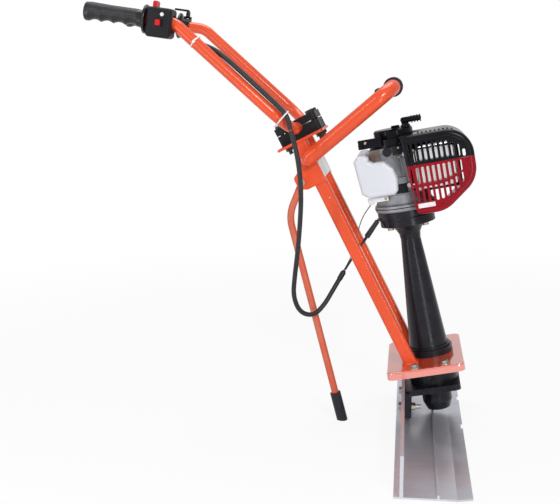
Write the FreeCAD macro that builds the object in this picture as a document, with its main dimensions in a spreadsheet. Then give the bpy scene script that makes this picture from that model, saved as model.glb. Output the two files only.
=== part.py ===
import FreeCAD, Part
import math
import os
import re

import Sketcher
from FreeCAD import Placement, Rotation, Vector

# Driving dimensions in millimetres and degrees. X points to the front of the machine, Y along the blade
# and Z up. The origin lies on the ground under the middle of the blade's stiffening rib.
SIZES = {
    # blade extrusion
    "blade_long": 850, "sole_front": 56, "sole_back": 73, "sole_thick": 3.2, "fin_front": 57,
    "fin_thick": 6, "fin_high": 74, "rib_high": 9, "rib_thick": 4, "ramp_run": 25, "ramp_rise": 4,
    "notch_long": 26, "notch_deep": 3.5, "notch_away": 86,
    # leaning stack of exciter, column and engine, heights along its own axis
    "lean": 10.65, "axis_foot": 16, "cover_bottom": 17, "bracket_bottom": 64, "bracket_thick": 12,
    "bracket_back": 59, "bracket_front": 50, "bracket_half": 60, "housing_high": 52, "housing_round": 48,
    "housing_wall": 5, "cover_round": 29.5, "cover_toe": 23, "cover_taper": 16, "bearing_round": 20,
    "bearing_high": 11, "shaft_round": 8, "weight_round": 38, "weight_high": 24, "fit_gap": 0.05,
    "seat_gap": 0.3,
    # lugs and their bolts
    "lug_thick": 14, "lug_wide": 22, "lug_away": 50, "lug_bottom": 9, "lug_bolt_high": 31,
    "bolt_round": 4, "bolt_head": 7.5, "bolt_head_high": 5.5,
    # base plate
    "plate_thick": 5, "plate_back": 86, "plate_front": 64, "plate_half": 114, "plate_lip": 15,
    "plate_corner": 14, "plate_bolt_back": 31, "plate_bolt_front": 27, "plate_bolt_away": 97,
    # column
    "foot_round": 46, "foot_high": 13, "ledge_round": 42, "ledge_high": 5, "column_low_round": 38,
    "column_high": 281, "neck_round": 19.6, "neck_drop": 46, "column_bore": 9.5, "flange_round": 54,
    "flange_high": 14, "column_bearing": 14, "drive_round": 5,
    # clutch
    "drum_round": 38, "drum_wall": 2.5, "drum_high": 15, "shoe_high": 9.5, "shoe_hub": 9,
    # engine
    "case_round": 59, "case_high": 23, "case_wall": 4, "case_step_round": 54, "case_step_high": 29,
    "block_back": 50, "block_front": 22, "block_half": 46, "block_high": 89, "crank_round": 7,
    "wheel_round": 52, "wheel_high": 14, "blade_count": 12, "starter_round": 50, "starter_high": 16,
    "starter_drum": 38, "starter_drum_high": 17, "starter_wall": 3, "rope_x": 26, "rope_y": -16,
    "arm_reach": 18, "pull_back": 8, "pull_front": 32,
    "post_round": 5, "pulley_round": 26, "pulley_high": 9,
    "head_reach": 118, "fin_count": 9, "fin_pitch": 10, "fin_plate": 2.6, "fin_half": 37, "fin_tall": 84,
    "cylinder_round": 27, "cylinder_level": 512, "muffler_back": 28, "muffler_front": 116,
    "muffler_near": 78, "muffler_far": 44, "muffler_low": 464, "muffler_top": 550,
    "shroud_back": 10, "shroud_front": 144, "shroud_top": 574, "shroud_low": 422, "shroud_near": 88,
    "shroud_far": 60, "shroud_wall": 2.5, "shroud_split": 517, "shroud_edge": 9,
    "nose_long": 67, "nose_high": 51, "slot_count": 11,
    "slot_wide": 5.4, "slot_pitch": 10, "slot_first": 25,
    "tank_back": 81, "tank_near": 84, "tank_low": 468, "tank_top": 550, "tank_step": 533,
    "tank_neck": 50, "tank_front": -4, "tank_round": 7, "cap_round": 19, "cap_high": 14,
    # fork
    "fork_lean": 26.9, "fork_foot": -46, "fork_foot_high": 122, "leg_wide": 25, "leg_wall": 2,
    "leg_corner": 6, "leg_away": 57, "leg_long": 485, "head_plate": 5, "head_half": 48,
    "head_side": 72,
    # handlebar and clamp
    "bar_above": 27, "bar_offset": 4, "bar_round": 11, "bar_wall": 2, "bar_half": 140, "arm_long": 290,
    "arm_rise": 41.8, "hand_rise": 8, "arm_bend": 40, "cross_bend": 55,
    "jaw_long": 86, "jaw_half": 52, "jaw_low": 21, "jaw_high": 15, "jaw_split": 1.2,
    "clamp_bolt_u": 33, "clamp_bolt_y": 38,
    # grips and controls
    "grip_long": 112, "grip_round": 14.5, "grip_root": 16.5, "grip_flange": 26, "grip_flange_thick": 5,
    "switch_long": 47, "switch_deep": 50, "switch_tall": 56, "switch_from_grip": 3,
    "lever_long": 22, "lever_wide": 8, "slider_long": 9, "button_round": 3.4, "button_travel": 2,
    # lift handle
    "lift_round": 14.5, "lift_wall": 2, "lift_ahead": 15.2, "lift_clear": 78.3, "gusset_thick": 3,
    "lift_bend": 36, "lift_grip_round": 18.5, "lift_bead": 6, "lift_drop": 35, "lift_in": 2,
    # kickstand
    "stand_round": 7, "stand_foot_round": 10.5, "stand_foot_high": 54, "stand_pin": 4, "stand_eye": 10,
    "stand_drop": 70, "stand_out": 32, "stand_back": 181, "stand_bend": 70,
    "blank_drop": 80, "blank_high": 32,
    # control cable
    "cable_round": 4.6, "ferrule_round": 5.4, "wire_round": 1.6,
}

doc = FreeCAD.newDocument("power_screed")
sheet = doc.addObject("Spreadsheet::Sheet", "Sizes")
for row, (alias, size) in enumerate(SIZES.items(), 1):
    sheet.set("A%d" % row, alias)
    sheet.set("B%d" % row, str(size))
    sheet.setAlias("B%d" % row, alias)
doc.recompute()

X_AXIS, Y_AXIS, Z_AXIS = Vector(1, 0, 0), Vector(0, 1, 0), Vector(0, 0, 1)
ALONG_X = Rotation(Y_AXIS, 90)
ALONG_Y = Rotation(X_AXIS, -90)
NODES = []


# ---------------------------------------------------------------- helpers
def num(text):
    """The value of an expression on the sheet's names."""
    return float(sheet.evalExpression(str(text)))


def bind(thing, prop, text):
    """Ties a property to an expression on the sheet's names."""
    names = r"\b[a-z_]+\b"
    full = re.sub(names, lambda m: "Sizes." + m[0] if m[0] in SIZES else m[0], str(text))
    thing.setExpression(prop, full)


def spot(x, y, z):
    return Vector(num(x), num(y), num(z))


def leaning(angle, x="0", z="0"):
    """A frame that leans back by an angle about Y, with its foot at x, z."""
    return Placement(spot(x, "0", z), Rotation(Y_AXIS, -num(angle)))


STACK = leaning("lean", "axis_foot")
FORK = leaning("fork_lean", "fork_foot", "fork_foot_high")
WORLD = Placement()


def keep(thing, label, frame=WORLD):
    """Gives a finished sub-part its name and its place."""
    thing.Label = label
    thing.Placement = frame.multiply(thing.Placement)
    NODES.append(thing)
    return thing


def primitive(kind, sizes, place):
    thing = doc.addObject("Part::" + kind, kind)
    for prop, text in sizes.items():
        bind(thing, prop, text)
    thing.Placement = place
    return thing


def block(x, y, z, turn=Rotation()):
    """A box from three (low, high) pairs of expressions."""
    sizes = {p: "(%s) - (%s)" % (hi, lo) for p, (lo, hi) in zip(("Length", "Width", "Height"), (x, y, z))}
    corner = spot(x[0], y[0], z[0])
    return primitive("Box", sizes, Placement(corner, turn))


def rod(radius, low, high, x="0", y="0", turn=None):
    """A cylinder along Z between two heights, or along X or Y where turn says so."""
    if turn is ALONG_X:
        base = spot(low, x, y)
    elif turn is ALONG_Y:
        base = spot(x, low, y)
    else:
        base = spot(x, y, low)
    place = Placement(base, turn or Rotation())
    return primitive("Cylinder", {"Radius": radius, "Height": "(%s) - (%s)" % (high, low)}, place)


def hexagon(across_radius, low, high, x, y, turn=None):
    """A hexagonal prism, for bolt heads and nuts."""
    base = spot(low, x, y) if turn is ALONG_X else spot(x, y, low)
    place = Placement(base, turn or Rotation())
    sizes = {"Circumradius": across_radius, "Height": "(%s) - (%s)" % (high, low)}
    thing = primitive("Prism", sizes, place)
    thing.Polygon = 6
    return thing


def fuse(*things):
    whole = doc.addObject("Part::MultiFuse", "Fuse")
    whole.Shapes = list(things)
    return whole


def group(*things):
    """Several separate solids in one sub-part."""
    whole = doc.addObject("Part::Compound", "Group")
    whole.Links = list(things)
    return whole


def cut(base, *tools):
    thing = doc.addObject("Part::Cut", "Cut")
    thing.Base = base
    thing.Tool = tools[0] if len(tools) == 1 else fuse(*tools)
    return thing


def rounded(thing, radius, chosen):
    """Rounds the edges that a test on their middle point and direction picks."""
    doc.recompute()
    picked = []
    for number, edge in enumerate(thing.Shape.Edges, 1):
        middle = edge.valueAt((edge.FirstParameter + edge.LastParameter) / 2)
        way = edge.tangentAt((edge.FirstParameter + edge.LastParameter) / 2)
        if chosen(middle, way):
            picked.append((number, num(radius), num(radius)))
    soft = doc.addObject("Part::Fillet", "Round")
    soft.Base = thing
    soft.Edges = picked
    return soft


def upright(middle, way):
    return abs(way.z) > 0.99


def outline(body, plane, corners):
    """A closed sketch of straight sides, each corner held by two bound distances."""
    sketch = body.newObject("Sketcher::SketchObject", "Outline")
    support = [f for f in body.Origin.OriginFeatures if f.Role == plane][0]
    sketch.AttachmentSupport = [(support, "")]
    sketch.MapMode = "FlatFace"
    spots = [Vector(num(a), num(b), 0) for a, b in corners]
    for i, start in enumerate(spots):
        sketch.addGeometry(Part.LineSegment(start, spots[(i + 1) % len(spots)]), False)
    for i in range(len(spots)):
        sketch.addConstraint(Sketcher.Constraint("Coincident", i, 2, (i + 1) % len(spots), 1))
    for i, (a, b) in enumerate(corners):
        for kind, text, value in (("DistanceX", a, spots[i].x), ("DistanceY", b, spots[i].y)):
            at = sketch.addConstraint(Sketcher.Constraint(kind, -1, 1, i, 1, value))
            name = "%s_%d" % (kind[-1], i)
            sketch.renameConstraint(at, name)
            bind(sketch, "Constraints." + name, text)
    return sketch


def extruded(label, plane, corners, length, both_ways=True):
    """A body padded from an outline, half each way unless told otherwise."""
    body = doc.addObject("PartDesign::Body", label + "_form")
    pad = body.newObject("PartDesign::Pad", "Pad")
    pad.Profile = outline(body, plane, corners)
    pad.Midplane = both_ways
    bind(pad, "Length", length)
    return body


def turned(label, corners):
    """A body revolved about its own Z axis from an outline of (radius, height) corners."""
    body = doc.addObject("PartDesign::Body", label + "_form")
    sketch = outline(body, "XZ_Plane", corners)
    turn = body.newObject("PartDesign::Revolution", "Revolution")
    turn.Profile = sketch
    turn.ReferenceAxis = (sketch, ["V_Axis"])
    turn.Angle = 360
    return body


def made(shape, label, frame=WORLD):
    """A sub-part whose shape comes from Part's own functions."""
    thing = doc.addObject("Part::Feature", label)
    thing.Shape = shape
    return keep(thing, label, frame)


def bent_wire(spots, radii, closed=False):
    """Straight runs joined by tangent arcs, one radius for each inner corner."""
    count = len(spots)
    corners = range(count) if closed else range(1, count - 1)
    joins = {}
    for at, radius in zip(corners, radii):
        here = spots[at]
        back = (spots[at - 1] - here).normalize()
        on = (spots[(at + 1) % count] - here).normalize()
        half = (math.pi - back.getAngle(on)) / 2
        reach = radius * math.tan(half)
        inward = (back + on).normalize()
        middle = here + inward * (radius / math.cos(half) - radius)
        joins[at] = (here + back * reach, middle, here + on * reach)
    edges = []
    for at in range(count if closed else count - 1):
        start = joins[at][2] if at in joins else spots[at]
        after = (at + 1) % count
        end = joins[after][0] if after in joins else spots[after]
        if (end - start).Length > 1e-4:
            edges.append(Part.LineSegment(start, end).toShape())
        if after in joins:
            edges.append(Part.Arc(*joins[after]).toShape())
    return Part.Wire(edges)


def swept(spots, radii, outer, closed=False):
    """A round bar along straight runs and arcs."""
    path = bent_wire(spots, radii, closed)
    first = path.Edges[0]
    start = first.valueAt(first.FirstParameter)
    ring = Part.Wire(Part.makeCircle(outer, start, first.tangentAt(first.FirstParameter)))
    solid = path.makePipeShell([ring], True, True)
    length = path.Length
    share = solid.Volume / (math.pi * outer * outer * length)
    if abs(share - 1) > 0.03:
        raise ValueError("a swept bar has %.3f of its true volume" % share)
    return solid


def hollow(spots, radii, outer, wall, closed=False):
    return swept(spots, radii, outer, closed).cut(swept(spots, radii, outer - wall, closed))


def soft_radii(spots, share=0.45):
    """The arc that each corner of a cord's route has room for."""
    radii = []
    for before, here, after in zip(spots, spots[1:], spots[2:]):
        turn = math.pi - (before - here).getAngle(after - here)
        shorter = min((before - here).Length, (after - here).Length)
        radii.append(share * shorter / math.tan(turn / 2))
    return radii


# ---------------------------------------------------------------- blade
def blade():
    """One long extrusion: a flat sole with a ramped front edge, a rib and an upright fin at the back."""
    corners = [
        ("-sole_back", "0"), ("sole_front - ramp_run", "0"), ("sole_front", "ramp_rise"),
        ("sole_front", "ramp_rise + sole_thick"), ("sole_front - ramp_run", "sole_thick"),
        ("rib_thick / 2", "sole_thick"), ("rib_thick / 2", "rib_high"), ("-rib_thick / 2", "rib_high"),
        ("-rib_thick / 2", "sole_thick"), ("-fin_front", "sole_thick"), ("-fin_front", "fin_high"),
        ("-fin_front - fin_thick", "fin_high"), ("-fin_front - fin_thick", "sole_thick"),
        ("-sole_back", "sole_thick"),
    ]
    body = extruded("screed_blade", "XZ_Plane", corners, "blade_long")
    notches = []
    for side in ("-", ""):
        low = "%snotch_away - notch_long / 2" % side
        high = "%snotch_away + notch_long / 2" % side
        reach = ("sole_front - notch_deep", "sole_front + 1")
        notches.append(block(reach, (low, high), ("-1", "ramp_rise + sole_thick + 1")))
    for side in ("-", ""):
        level = "lug_bolt_high"
        low, high = "-sole_back", "-fin_front + 1"
        notches.append(rod("bolt_round + seat_gap", low, high, "%slug_away" % side, level, ALONG_X))
    keep(cut(body, *notches), "screed_blade")


def blade_bolts():
    """Bolts from outside the fin through the lugs, with their nuts."""
    back = "-fin_front - fin_thick"
    nut = "-fin_front + lug_thick"
    bolts = []
    nuts = []
    for side in ("-", ""):
        y = "%slug_away" % side
        head = hexagon("bolt_head", back + " - bolt_head_high", back, y, "lug_bolt_high", ALONG_X)
        shank = rod("bolt_round", back, nut + " + 18", y, "lug_bolt_high", ALONG_X)
        bolts.append(fuse(head, shank))
        outer = hexagon("bolt_head", nut, nut + " + bolt_head_high + 2", y, "lug_bolt_high", ALONG_X)
        hole = rod("bolt_round + fit_gap", nut + " - 1", nut + " + 12", y, "lug_bolt_high", ALONG_X)
        nuts.append(cut(outer, hole))
    keep(group(*bolts, *nuts), "blade_bolts")


# ---------------------------------------------------------------- exciter
HOUSING_LOW = "bracket_bottom + bracket_thick"
PLATE_LOW = HOUSING_LOW + " + housing_high"
PLATE_TOP = PLATE_LOW + " + plate_thick"
BOLT_RING = [(x, y) for x in ("-24", "24") for y in ("-31.5", "31.5")]


def exciter_bracket():
    """Cast flange across the exciter with two lugs that stand down to the blade's fin."""
    flange = block(("-bracket_back", "bracket_front"), ("-bracket_half", "bracket_half"),
                   ("bracket_bottom", HOUSING_LOW))
    flange = rounded(flange, "11", upright)
    bore = rod("shaft_round + 6", "bracket_bottom - 1", HOUSING_LOW + " + 1")
    holes = [rod("bolt_round", "bracket_bottom - 1", HOUSING_LOW + " + 1", x, y) for x, y in BOLT_RING]
    flange = cut(flange, bore, *holes)
    flange.Placement = STACK
    lugs = []
    for side in ("-", ""):
        middle = "%slug_away" % side
        ends = (middle + " - lug_wide / 2", middle + " + lug_wide / 2")
        lug = block(("-fin_front", "-fin_front + lug_thick"), ends, ("lug_bottom", "bracket_bottom - 5"))
        lug = rounded(lug, "4", lambda mid, way: abs(way.y) > 0.99 and mid.z < num("lug_bottom + 1"))
        hole = rod("bolt_round + seat_gap", "-fin_front - 1", "-fin_front + lug_thick + 1", middle,
                   "lug_bolt_high", ALONG_X)
        lugs.append(cut(lug, hole))
    keep(fuse(flange, *lugs), "exciter_bracket")


def exciter_housing():
    """Deep upper cup with the eccentric's chamber and the upper bearing's seat."""
    seat = "%s - 4 - bearing_high" % PLATE_LOW
    inner = "housing_round - housing_wall"
    corners = [
        (inner, HOUSING_LOW), ("housing_round", HOUSING_LOW), ("housing_round", PLATE_LOW),
        ("bearing_round - 4", PLATE_LOW), ("bearing_round - 4", PLATE_LOW + " - 4"),
        ("bearing_round + fit_gap", PLATE_LOW + " - 4"), ("bearing_round + fit_gap", seat),
        (inner, seat),
    ]
    body = turned("exciter_housing", corners)
    ribs = []
    for x, y in BOLT_RING:
        boss = rod("bolt_round + 3", HOUSING_LOW, HOUSING_LOW + " + 16", x, y)
        hole = rod("bolt_round + fit_gap", HOUSING_LOW + " - 1", HOUSING_LOW + " + 17", x, y)
        ribs.append((boss, hole))
    rings = "housing_round + 1.5"
    band = cut(rod(rings, PLATE_LOW + " - 8", PLATE_LOW), rod("housing_round - 1", PLATE_LOW + " - 9",
               PLATE_LOW + " + 1"))
    keep(fuse(body, band), "exciter_housing", STACK)


def exciter_cover():
    """Lower cup, tapered towards the blade, closed at the bottom round the lower bearing."""
    low, top = "cover_bottom", "bracket_bottom"
    seat = "cover_bottom + 5"
    corners = [
        ("0", low), ("cover_toe", low), ("cover_round", low + " + cover_taper"), ("cover_round", top),
        ("bearing_round + fit_gap", top), ("bearing_round + fit_gap", seat), ("0", seat),
    ]
    keep(turned("exciter_cover", corners), "exciter_cover", STACK)


def exciter_bolts():
    bolts = []
    for x, y in BOLT_RING:
        head = hexagon("bolt_head - 1", "bracket_bottom - 5", "bracket_bottom", x, y)
        shank = rod("bolt_round - 0.3", "bracket_bottom", HOUSING_LOW, x, y)
        bolts.append(fuse(head, shank))
    return bolts


def eccentric():
    """The vibrating shaft, with its half-round weight and two bearings."""
    low = "cover_bottom + 5.3"
    top = PLATE_LOW + " - 2"
    stop = low + " + bearing_high"
    seat = "%s - 4 - bearing_high" % PLATE_LOW
    shaft = turned("eccentric_shaft", [
        ("0", low), ("shaft_round - 1", low), ("shaft_round - 1", stop), ("shaft_round", stop),
        ("shaft_round", seat + " - 1"), ("shaft_round - 1", seat + " - 1"), ("shaft_round - 1", top),
        ("0", top)])
    keep(shaft, "eccentric_shaft", STACK)
    weight_low = HOUSING_LOW + " + 5"
    weight_top = weight_low + " + weight_high"
    disc = rod("weight_round", weight_low, weight_top)
    half = block(("shaft_round * 0.4", "6 * shaft_round"), ("-weight_round - 1", "weight_round + 1"),
                 (weight_low + " - 1", weight_top + " + 1"))
    hub = rod("shaft_round + 5", weight_low, weight_top)
    bore = rod("shaft_round + fit_gap", weight_low + " - 1", weight_top + " + 1")
    keep(cut(fuse(cut(disc, half), hub), bore), "eccentric_weight", STACK)
    rings = []
    for start in (low + " - 0.3", seat):
        outer = rod("bearing_round", start, start + " + bearing_high")
        inner = rod("shaft_round - 1 + fit_gap", start + " - 1", start + " + bearing_high + 1")
        rings.append(cut(outer, inner))
    return rings


# ---------------------------------------------------------------- base plate and column
def base_plate():
    """Pressed plate with a lip turned down all round and rounded corners."""
    x = ("-plate_back", "plate_front")
    y = ("-plate_half", "plate_half")
    outer = rounded(block(x, y, (PLATE_TOP + " - plate_lip", PLATE_TOP)), "plate_corner", upright)
    outer = rounded(outer, "4", lambda mid, way: mid.z > num(PLATE_TOP) - 0.1)
    x = ("-plate_back + plate_thick", "plate_front - plate_thick")
    y = ("-plate_half + plate_thick", "plate_half - plate_thick")
    under = rounded(block(x, y, (PLATE_TOP + " - plate_lip - 1", PLATE_LOW)), "plate_corner - plate_thick",
                    upright)
    bore = rod("column_bearing", PLATE_LOW + " - 1", PLATE_TOP + " + 1")
    holes = [rod("bolt_round + 0.3", PLATE_LOW + " - 1", PLATE_TOP + " + 1", x, y) for x, y in PLATE_BOLTS]
    keep(cut(outer, under, bore, *holes), "base_plate", STACK)


PLATE_BOLTS = [(x, y) for y in ("-plate_bolt_away", "plate_bolt_away")
               for x in ("-plate_bolt_back", "plate_bolt_front")]


def plate_bolts():
    bolts = []
    for x, y in PLATE_BOLTS:
        washer = rod("bolt_head + 1.5", PLATE_TOP, PLATE_TOP + " + 1.5", x, y)
        head = hexagon("bolt_head", PLATE_TOP + " + 1.5", PLATE_TOP + " + 7", x, y)
        shank = rod("bolt_round", PLATE_LOW + " - 9", PLATE_TOP + " + 1.5", x, y)
        nut = hexagon("bolt_head", PLATE_LOW + " - 6", PLATE_LOW, x, y)
        bolts.append(fuse(washer, head, shank, nut))
    keep(group(*bolts), "plate_bolts", STACK)


COLUMN_TOP = PLATE_TOP + " + column_high"
LOW_BEARING = PLATE_TOP + " + 6"
HIGH_BEARING = COLUMN_TOP + " - flange_high - 16"


def column():
    """Cast housing: a foot, a tall cone that narrows upwards and a flared flange under the engine."""
    top = COLUMN_TOP
    neck = top + " - neck_drop"
    flare = top + " - flange_high"
    foot = PLATE_TOP + " + foot_high"
    ledge = foot + " + ledge_high"
    chamber = "drum_round + 3"
    chamber_low = flare + " + 3"
    bearing = "column_bearing + fit_gap"
    corners = [
        ("column_bore", PLATE_TOP), ("foot_round", PLATE_TOP), ("foot_round", foot),
        ("ledge_round", foot), ("ledge_round", ledge), ("column_low_round", ledge),
        ("neck_round", neck), ("neck_round * 1.08", neck + " + 12"), ("neck_round * 1.3", neck + " + 20"),
        ("neck_round * 1.58", neck + " + 27"), ("neck_round * 1.9", flare), ("flange_round", flare),
        ("flange_round", top), (chamber, top), (chamber, chamber_low), (bearing, chamber_low),
        (bearing, chamber_low + " - bearing_high"), ("column_bore", chamber_low + " - bearing_high"),
    ]
    body = turned("column", corners)
    holes = [rod("bolt_round", flare + " - 1", top + " + 1", x, y) for x, y in CASE_BOLTS]
    seat = rod(bearing, PLATE_TOP + " - 1", PLATE_TOP + " + bearing_high")
    keep(cut(body, seat, *holes), "column", STACK)


CASE_BOLTS = [(x, y) for x in ("-34", "34") for y in ("-34", "34")]


def column_bolts():
    flare = COLUMN_TOP + " - flange_high"
    bolts = []
    for x, y in CASE_BOLTS:
        head = hexagon("bolt_head - 1.5", flare + " - 5", flare, x, y)
        shank = rod("bolt_round - 0.3", flare, COLUMN_TOP, x, y)
        bolts.append(fuse(head, shank))
    return bolts


def drive_shaft():
    """Clutch drum on the long shaft that runs down the column to the eccentric."""
    low = PLATE_LOW + " - 2"
    drum_low = COLUMN_TOP + " - flange_high + 4"
    rim = drum_low + " + drum_wall"
    shaft = rod("drive_round", low, rim + " - 0.5")
    keep(shaft, "drive_shaft", STACK)
    cup = turned("clutch_drum", [
        ("drive_round + fit_gap", drum_low), ("drum_round", drum_low), ("drum_round", drum_low +
         " + drum_high"), ("drum_round - drum_wall", drum_low + " + drum_high"),
        ("drum_round - drum_wall", rim), ("drive_round + fit_gap", rim)])
    keep(cup, "clutch_drum", STACK)
    rings = []
    for start in (PLATE_TOP, COLUMN_TOP + " - flange_high + 3 - bearing_high"):
        outer = rod("column_bearing", start, start + " + bearing_high")
        inner = rod("drive_round + fit_gap", start + " - 1", start + " + bearing_high + 1")
        rings.append(cut(outer, inner))
    return rings


# ---------------------------------------------------------------- engine
CASE_LOW = COLUMN_TOP
CASE_TOP = CASE_LOW + " + case_high"
STEP_TOP = CASE_TOP + " + case_step_high"
BLOCK_TOP = STEP_TOP + " + block_high"
STARTER_TOP = BLOCK_TOP + " + starter_high + starter_drum_high"
CRANK_LOW = COLUMN_TOP + " - flange_high + 4 + drum_wall + 1"


def crankcase():
    """Fan housing below, stepped case above it and the block that carries the crankshaft."""
    fan = turned("crankcase_lower", [
        ("drum_round + 3", CASE_LOW), ("case_round", CASE_LOW), ("case_round", CASE_TOP),
        ("case_round - case_wall", CASE_TOP), ("case_round - case_wall", CASE_LOW + " + 3"),
        ("drum_round + 3", CASE_LOW + " + 3")])
    keep(fan, "crankcase_lower", STACK)
    step = turned("crankcase_upper", [
        ("crank_round + fit_gap", CASE_TOP), ("case_round - 0.5", CASE_TOP),
        ("case_round - 0.5", CASE_TOP + " + 5"), ("case_step_round", CASE_TOP + " + 7"),
        ("case_step_round", STEP_TOP), ("crank_round + fit_gap", STEP_TOP)])
    keep(step, "crankcase_upper", STACK)
    block_body = block(("-block_back", "block_front"), ("-block_half", "block_half"),
                       (STEP_TOP, BLOCK_TOP))
    block_body = rounded(block_body, "8", upright)
    bore = rod("crank_round + fit_gap", STEP_TOP + " - 1", BLOCK_TOP + " + 1")
    posts = [rod("4", "-shroud_near + shroud_wall", "-block_half + 2", "16", level, ALONG_Y)
             for level in (CASE_TOP + " + 45", BLOCK_TOP + " - 14")]
    posts += [rod("4", "block_half - 2", "shroud_far - shroud_wall", "16", level, ALONG_Y)
              for level in (CASE_TOP + " + 45", BLOCK_TOP + " - 14")]
    keep(cut(fuse(block_body, *posts), bore), "engine_block", STACK)


def crankshaft():
    """Shaft that carries the flywheel fan, the clutch shoes and, on top, the starter's dog."""
    top = BLOCK_TOP + " + 8"
    keep(rod("crank_round", CRANK_LOW, top), "crankshaft", STACK)


def flywheel():
    low = CASE_LOW + " + 5"
    disc = rod("wheel_round", low, low + " + 4")
    hub = rod("crank_round + 7", low, low + " + wheel_high")
    vanes = []
    for at in range(int(num("blade_count"))):
        vane = block(("crank_round + 14", "wheel_round - 2"), ("-1", "1"),
                     (low + " + 4", low + " + wheel_high"))
        spin = Placement(Vector(), Rotation(Z_AXIS, 360 * at / num("blade_count")))
        vane.Placement = spin.multiply(vane.Placement)
        vanes.append(vane)
    bore = rod("crank_round + fit_gap", low + " - 1", low + " + wheel_high + 1")
    keep(cut(fuse(disc, hub, *vanes), bore), "flywheel_fan", STACK)


def clutch_shoes():
    """Two weighted shoes on a hub that swing out into the drum."""
    low = CRANK_LOW + " + 0.5"
    top = low + " + shoe_high"
    ring = rod("drum_round - drum_wall - seat_gap", low, top)
    gap = block(("-2", "2"), ("-drum_round", "drum_round"), (low + " - 1", top + " + 1"))
    core = rod("shoe_hub + 5", low + " - 1", top + " + 1")
    arm = block(("-drum_round * 0.6", "drum_round * 0.6"), ("-3", "3"), (low, top))
    hub = rod("shoe_hub + 2", low, top)
    bore = rod("crank_round + fit_gap", low + " - 1", top + " + 1")
    keep(cut(fuse(cut(ring, gap, core), arm, hub), bore), "clutch_shoes", STACK)


def cylinder():
    """Finned barrel and head, lying towards the front."""
    fins = []
    half = "fin_tall / 2"
    start = "head_reach - fin_count * fin_pitch"
    for at in range(int(num("fin_count"))):
        low = "%s + %d * fin_pitch" % (start, at)
        fin = block((low, low + " + fin_plate"), ("-fin_half", "fin_half"),
                    ("cylinder_level - " + half, "cylinder_level + " + half))
        fins.append(rounded(fin, "10", lambda mid, way: abs(way.x) > 0.99))
    barrel = rod("cylinder_round", "block_front", "head_reach", "0", "cylinder_level", ALONG_X)
    keep(fuse(barrel, *fins), "cylinder", STACK)


def muffler():
    """Pressed silencer box, held to the barrel by its exhaust flange."""
    can = block(("muffler_back", "muffler_front"), ("-muffler_near", "-muffler_far"),
                ("muffler_low", "muffler_top"))
    can = rounded(can, "11", lambda mid, way: True)
    port = block(("60", "90"), ("-muffler_far - 2", "-fin_half"),
                 ("cylinder_level - 14", "cylinder_level + 14"))
    keep(fuse(can, port), "muffler", STACK)


def carburettor():
    body = block(("46", "76"), ("fin_half", "fin_half + 30"), ("cylinder_level - 16", "cylinder_level + 16"))
    throat = rod("13", "fin_half + 6", "fin_half + 34", "61", "cylinder_level", ALONG_Y)
    keep(fuse(rounded(body, "4", lambda mid, way: abs(way.y) > 0.99), throat), "carburettor", STACK)
    box = block(("8", "96"), ("fin_half + 34", "fin_half + 72"),
                ("cylinder_level - 46", "cylinder_level + 48"))
    box = rounded(box, "12", lambda mid, way: mid.y > num("fin_half + 36"))
    keep(box, "air_cleaner", STACK)


def shroud_block(inset):
    """Solid of the round-nosed cover, moved in by a wall, with its near edges rounded."""
    back = num("shroud_back") - 3 * inset
    front, top = num("shroud_front") - inset, num("shroud_top") - inset
    low = num("shroud_low") + inset
    near = inset - num("shroud_near")
    corners = [Vector(back, near, top), Vector(front, near, top - 1),
               Vector(front, near, low + num("nose_high")), Vector(front - num("nose_long"), near, low),
               Vector(back + 9, near, low + 1)]
    radii = [4 - inset, 50 - inset, 55 - inset, 55 - inset, 14 - inset]
    face = Part.Face(bent_wire(corners, radii, closed=True))
    solid = face.extrude(Vector(0, num("shroud_far") - near + inset, 0))
    rim = [e for e in solid.Edges if max(v.Point.y for v in e.Vertexes) < near + 0.01]
    return solid.makeFillet(num("shroud_edge") - inset, rim)


def slot_span(at, low_share, high_share):
    """Bottom and top of one vent slot, following the cover's round nose."""
    x = num("slot_first") + at * num("slot_pitch")
    reach = num("shroud_front") - 14 - num("shroud_back")
    middle = num("shroud_split")
    over = max(0.0, (x - num("shroud_back") - 0.45 * reach) / (0.55 * reach))
    bend = math.sqrt(max(0.0, 1 - over * over))
    up = num("shroud_top") - middle - 10
    down = middle - num("shroud_low") - 14
    room = up if high_share > 0 else down
    return x, middle + low_share * room * bend, middle + high_share * room * bend


def slot_tool(x, low, high):
    """A round-ended vertical slot through the near face."""
    half = num("slot_wide") / 2
    near = -num("shroud_near")
    wall = num("shroud_wall") + 14
    bar = Part.makeBox(2 * half, wall, high - low - 2 * half, Vector(x - half, near - 1, low + half))
    ends = [Part.makeCylinder(half, wall, Vector(x, near - 1, z), Y_AXIS) for z in (low + half, high - half)]
    return [bar] + ends


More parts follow.
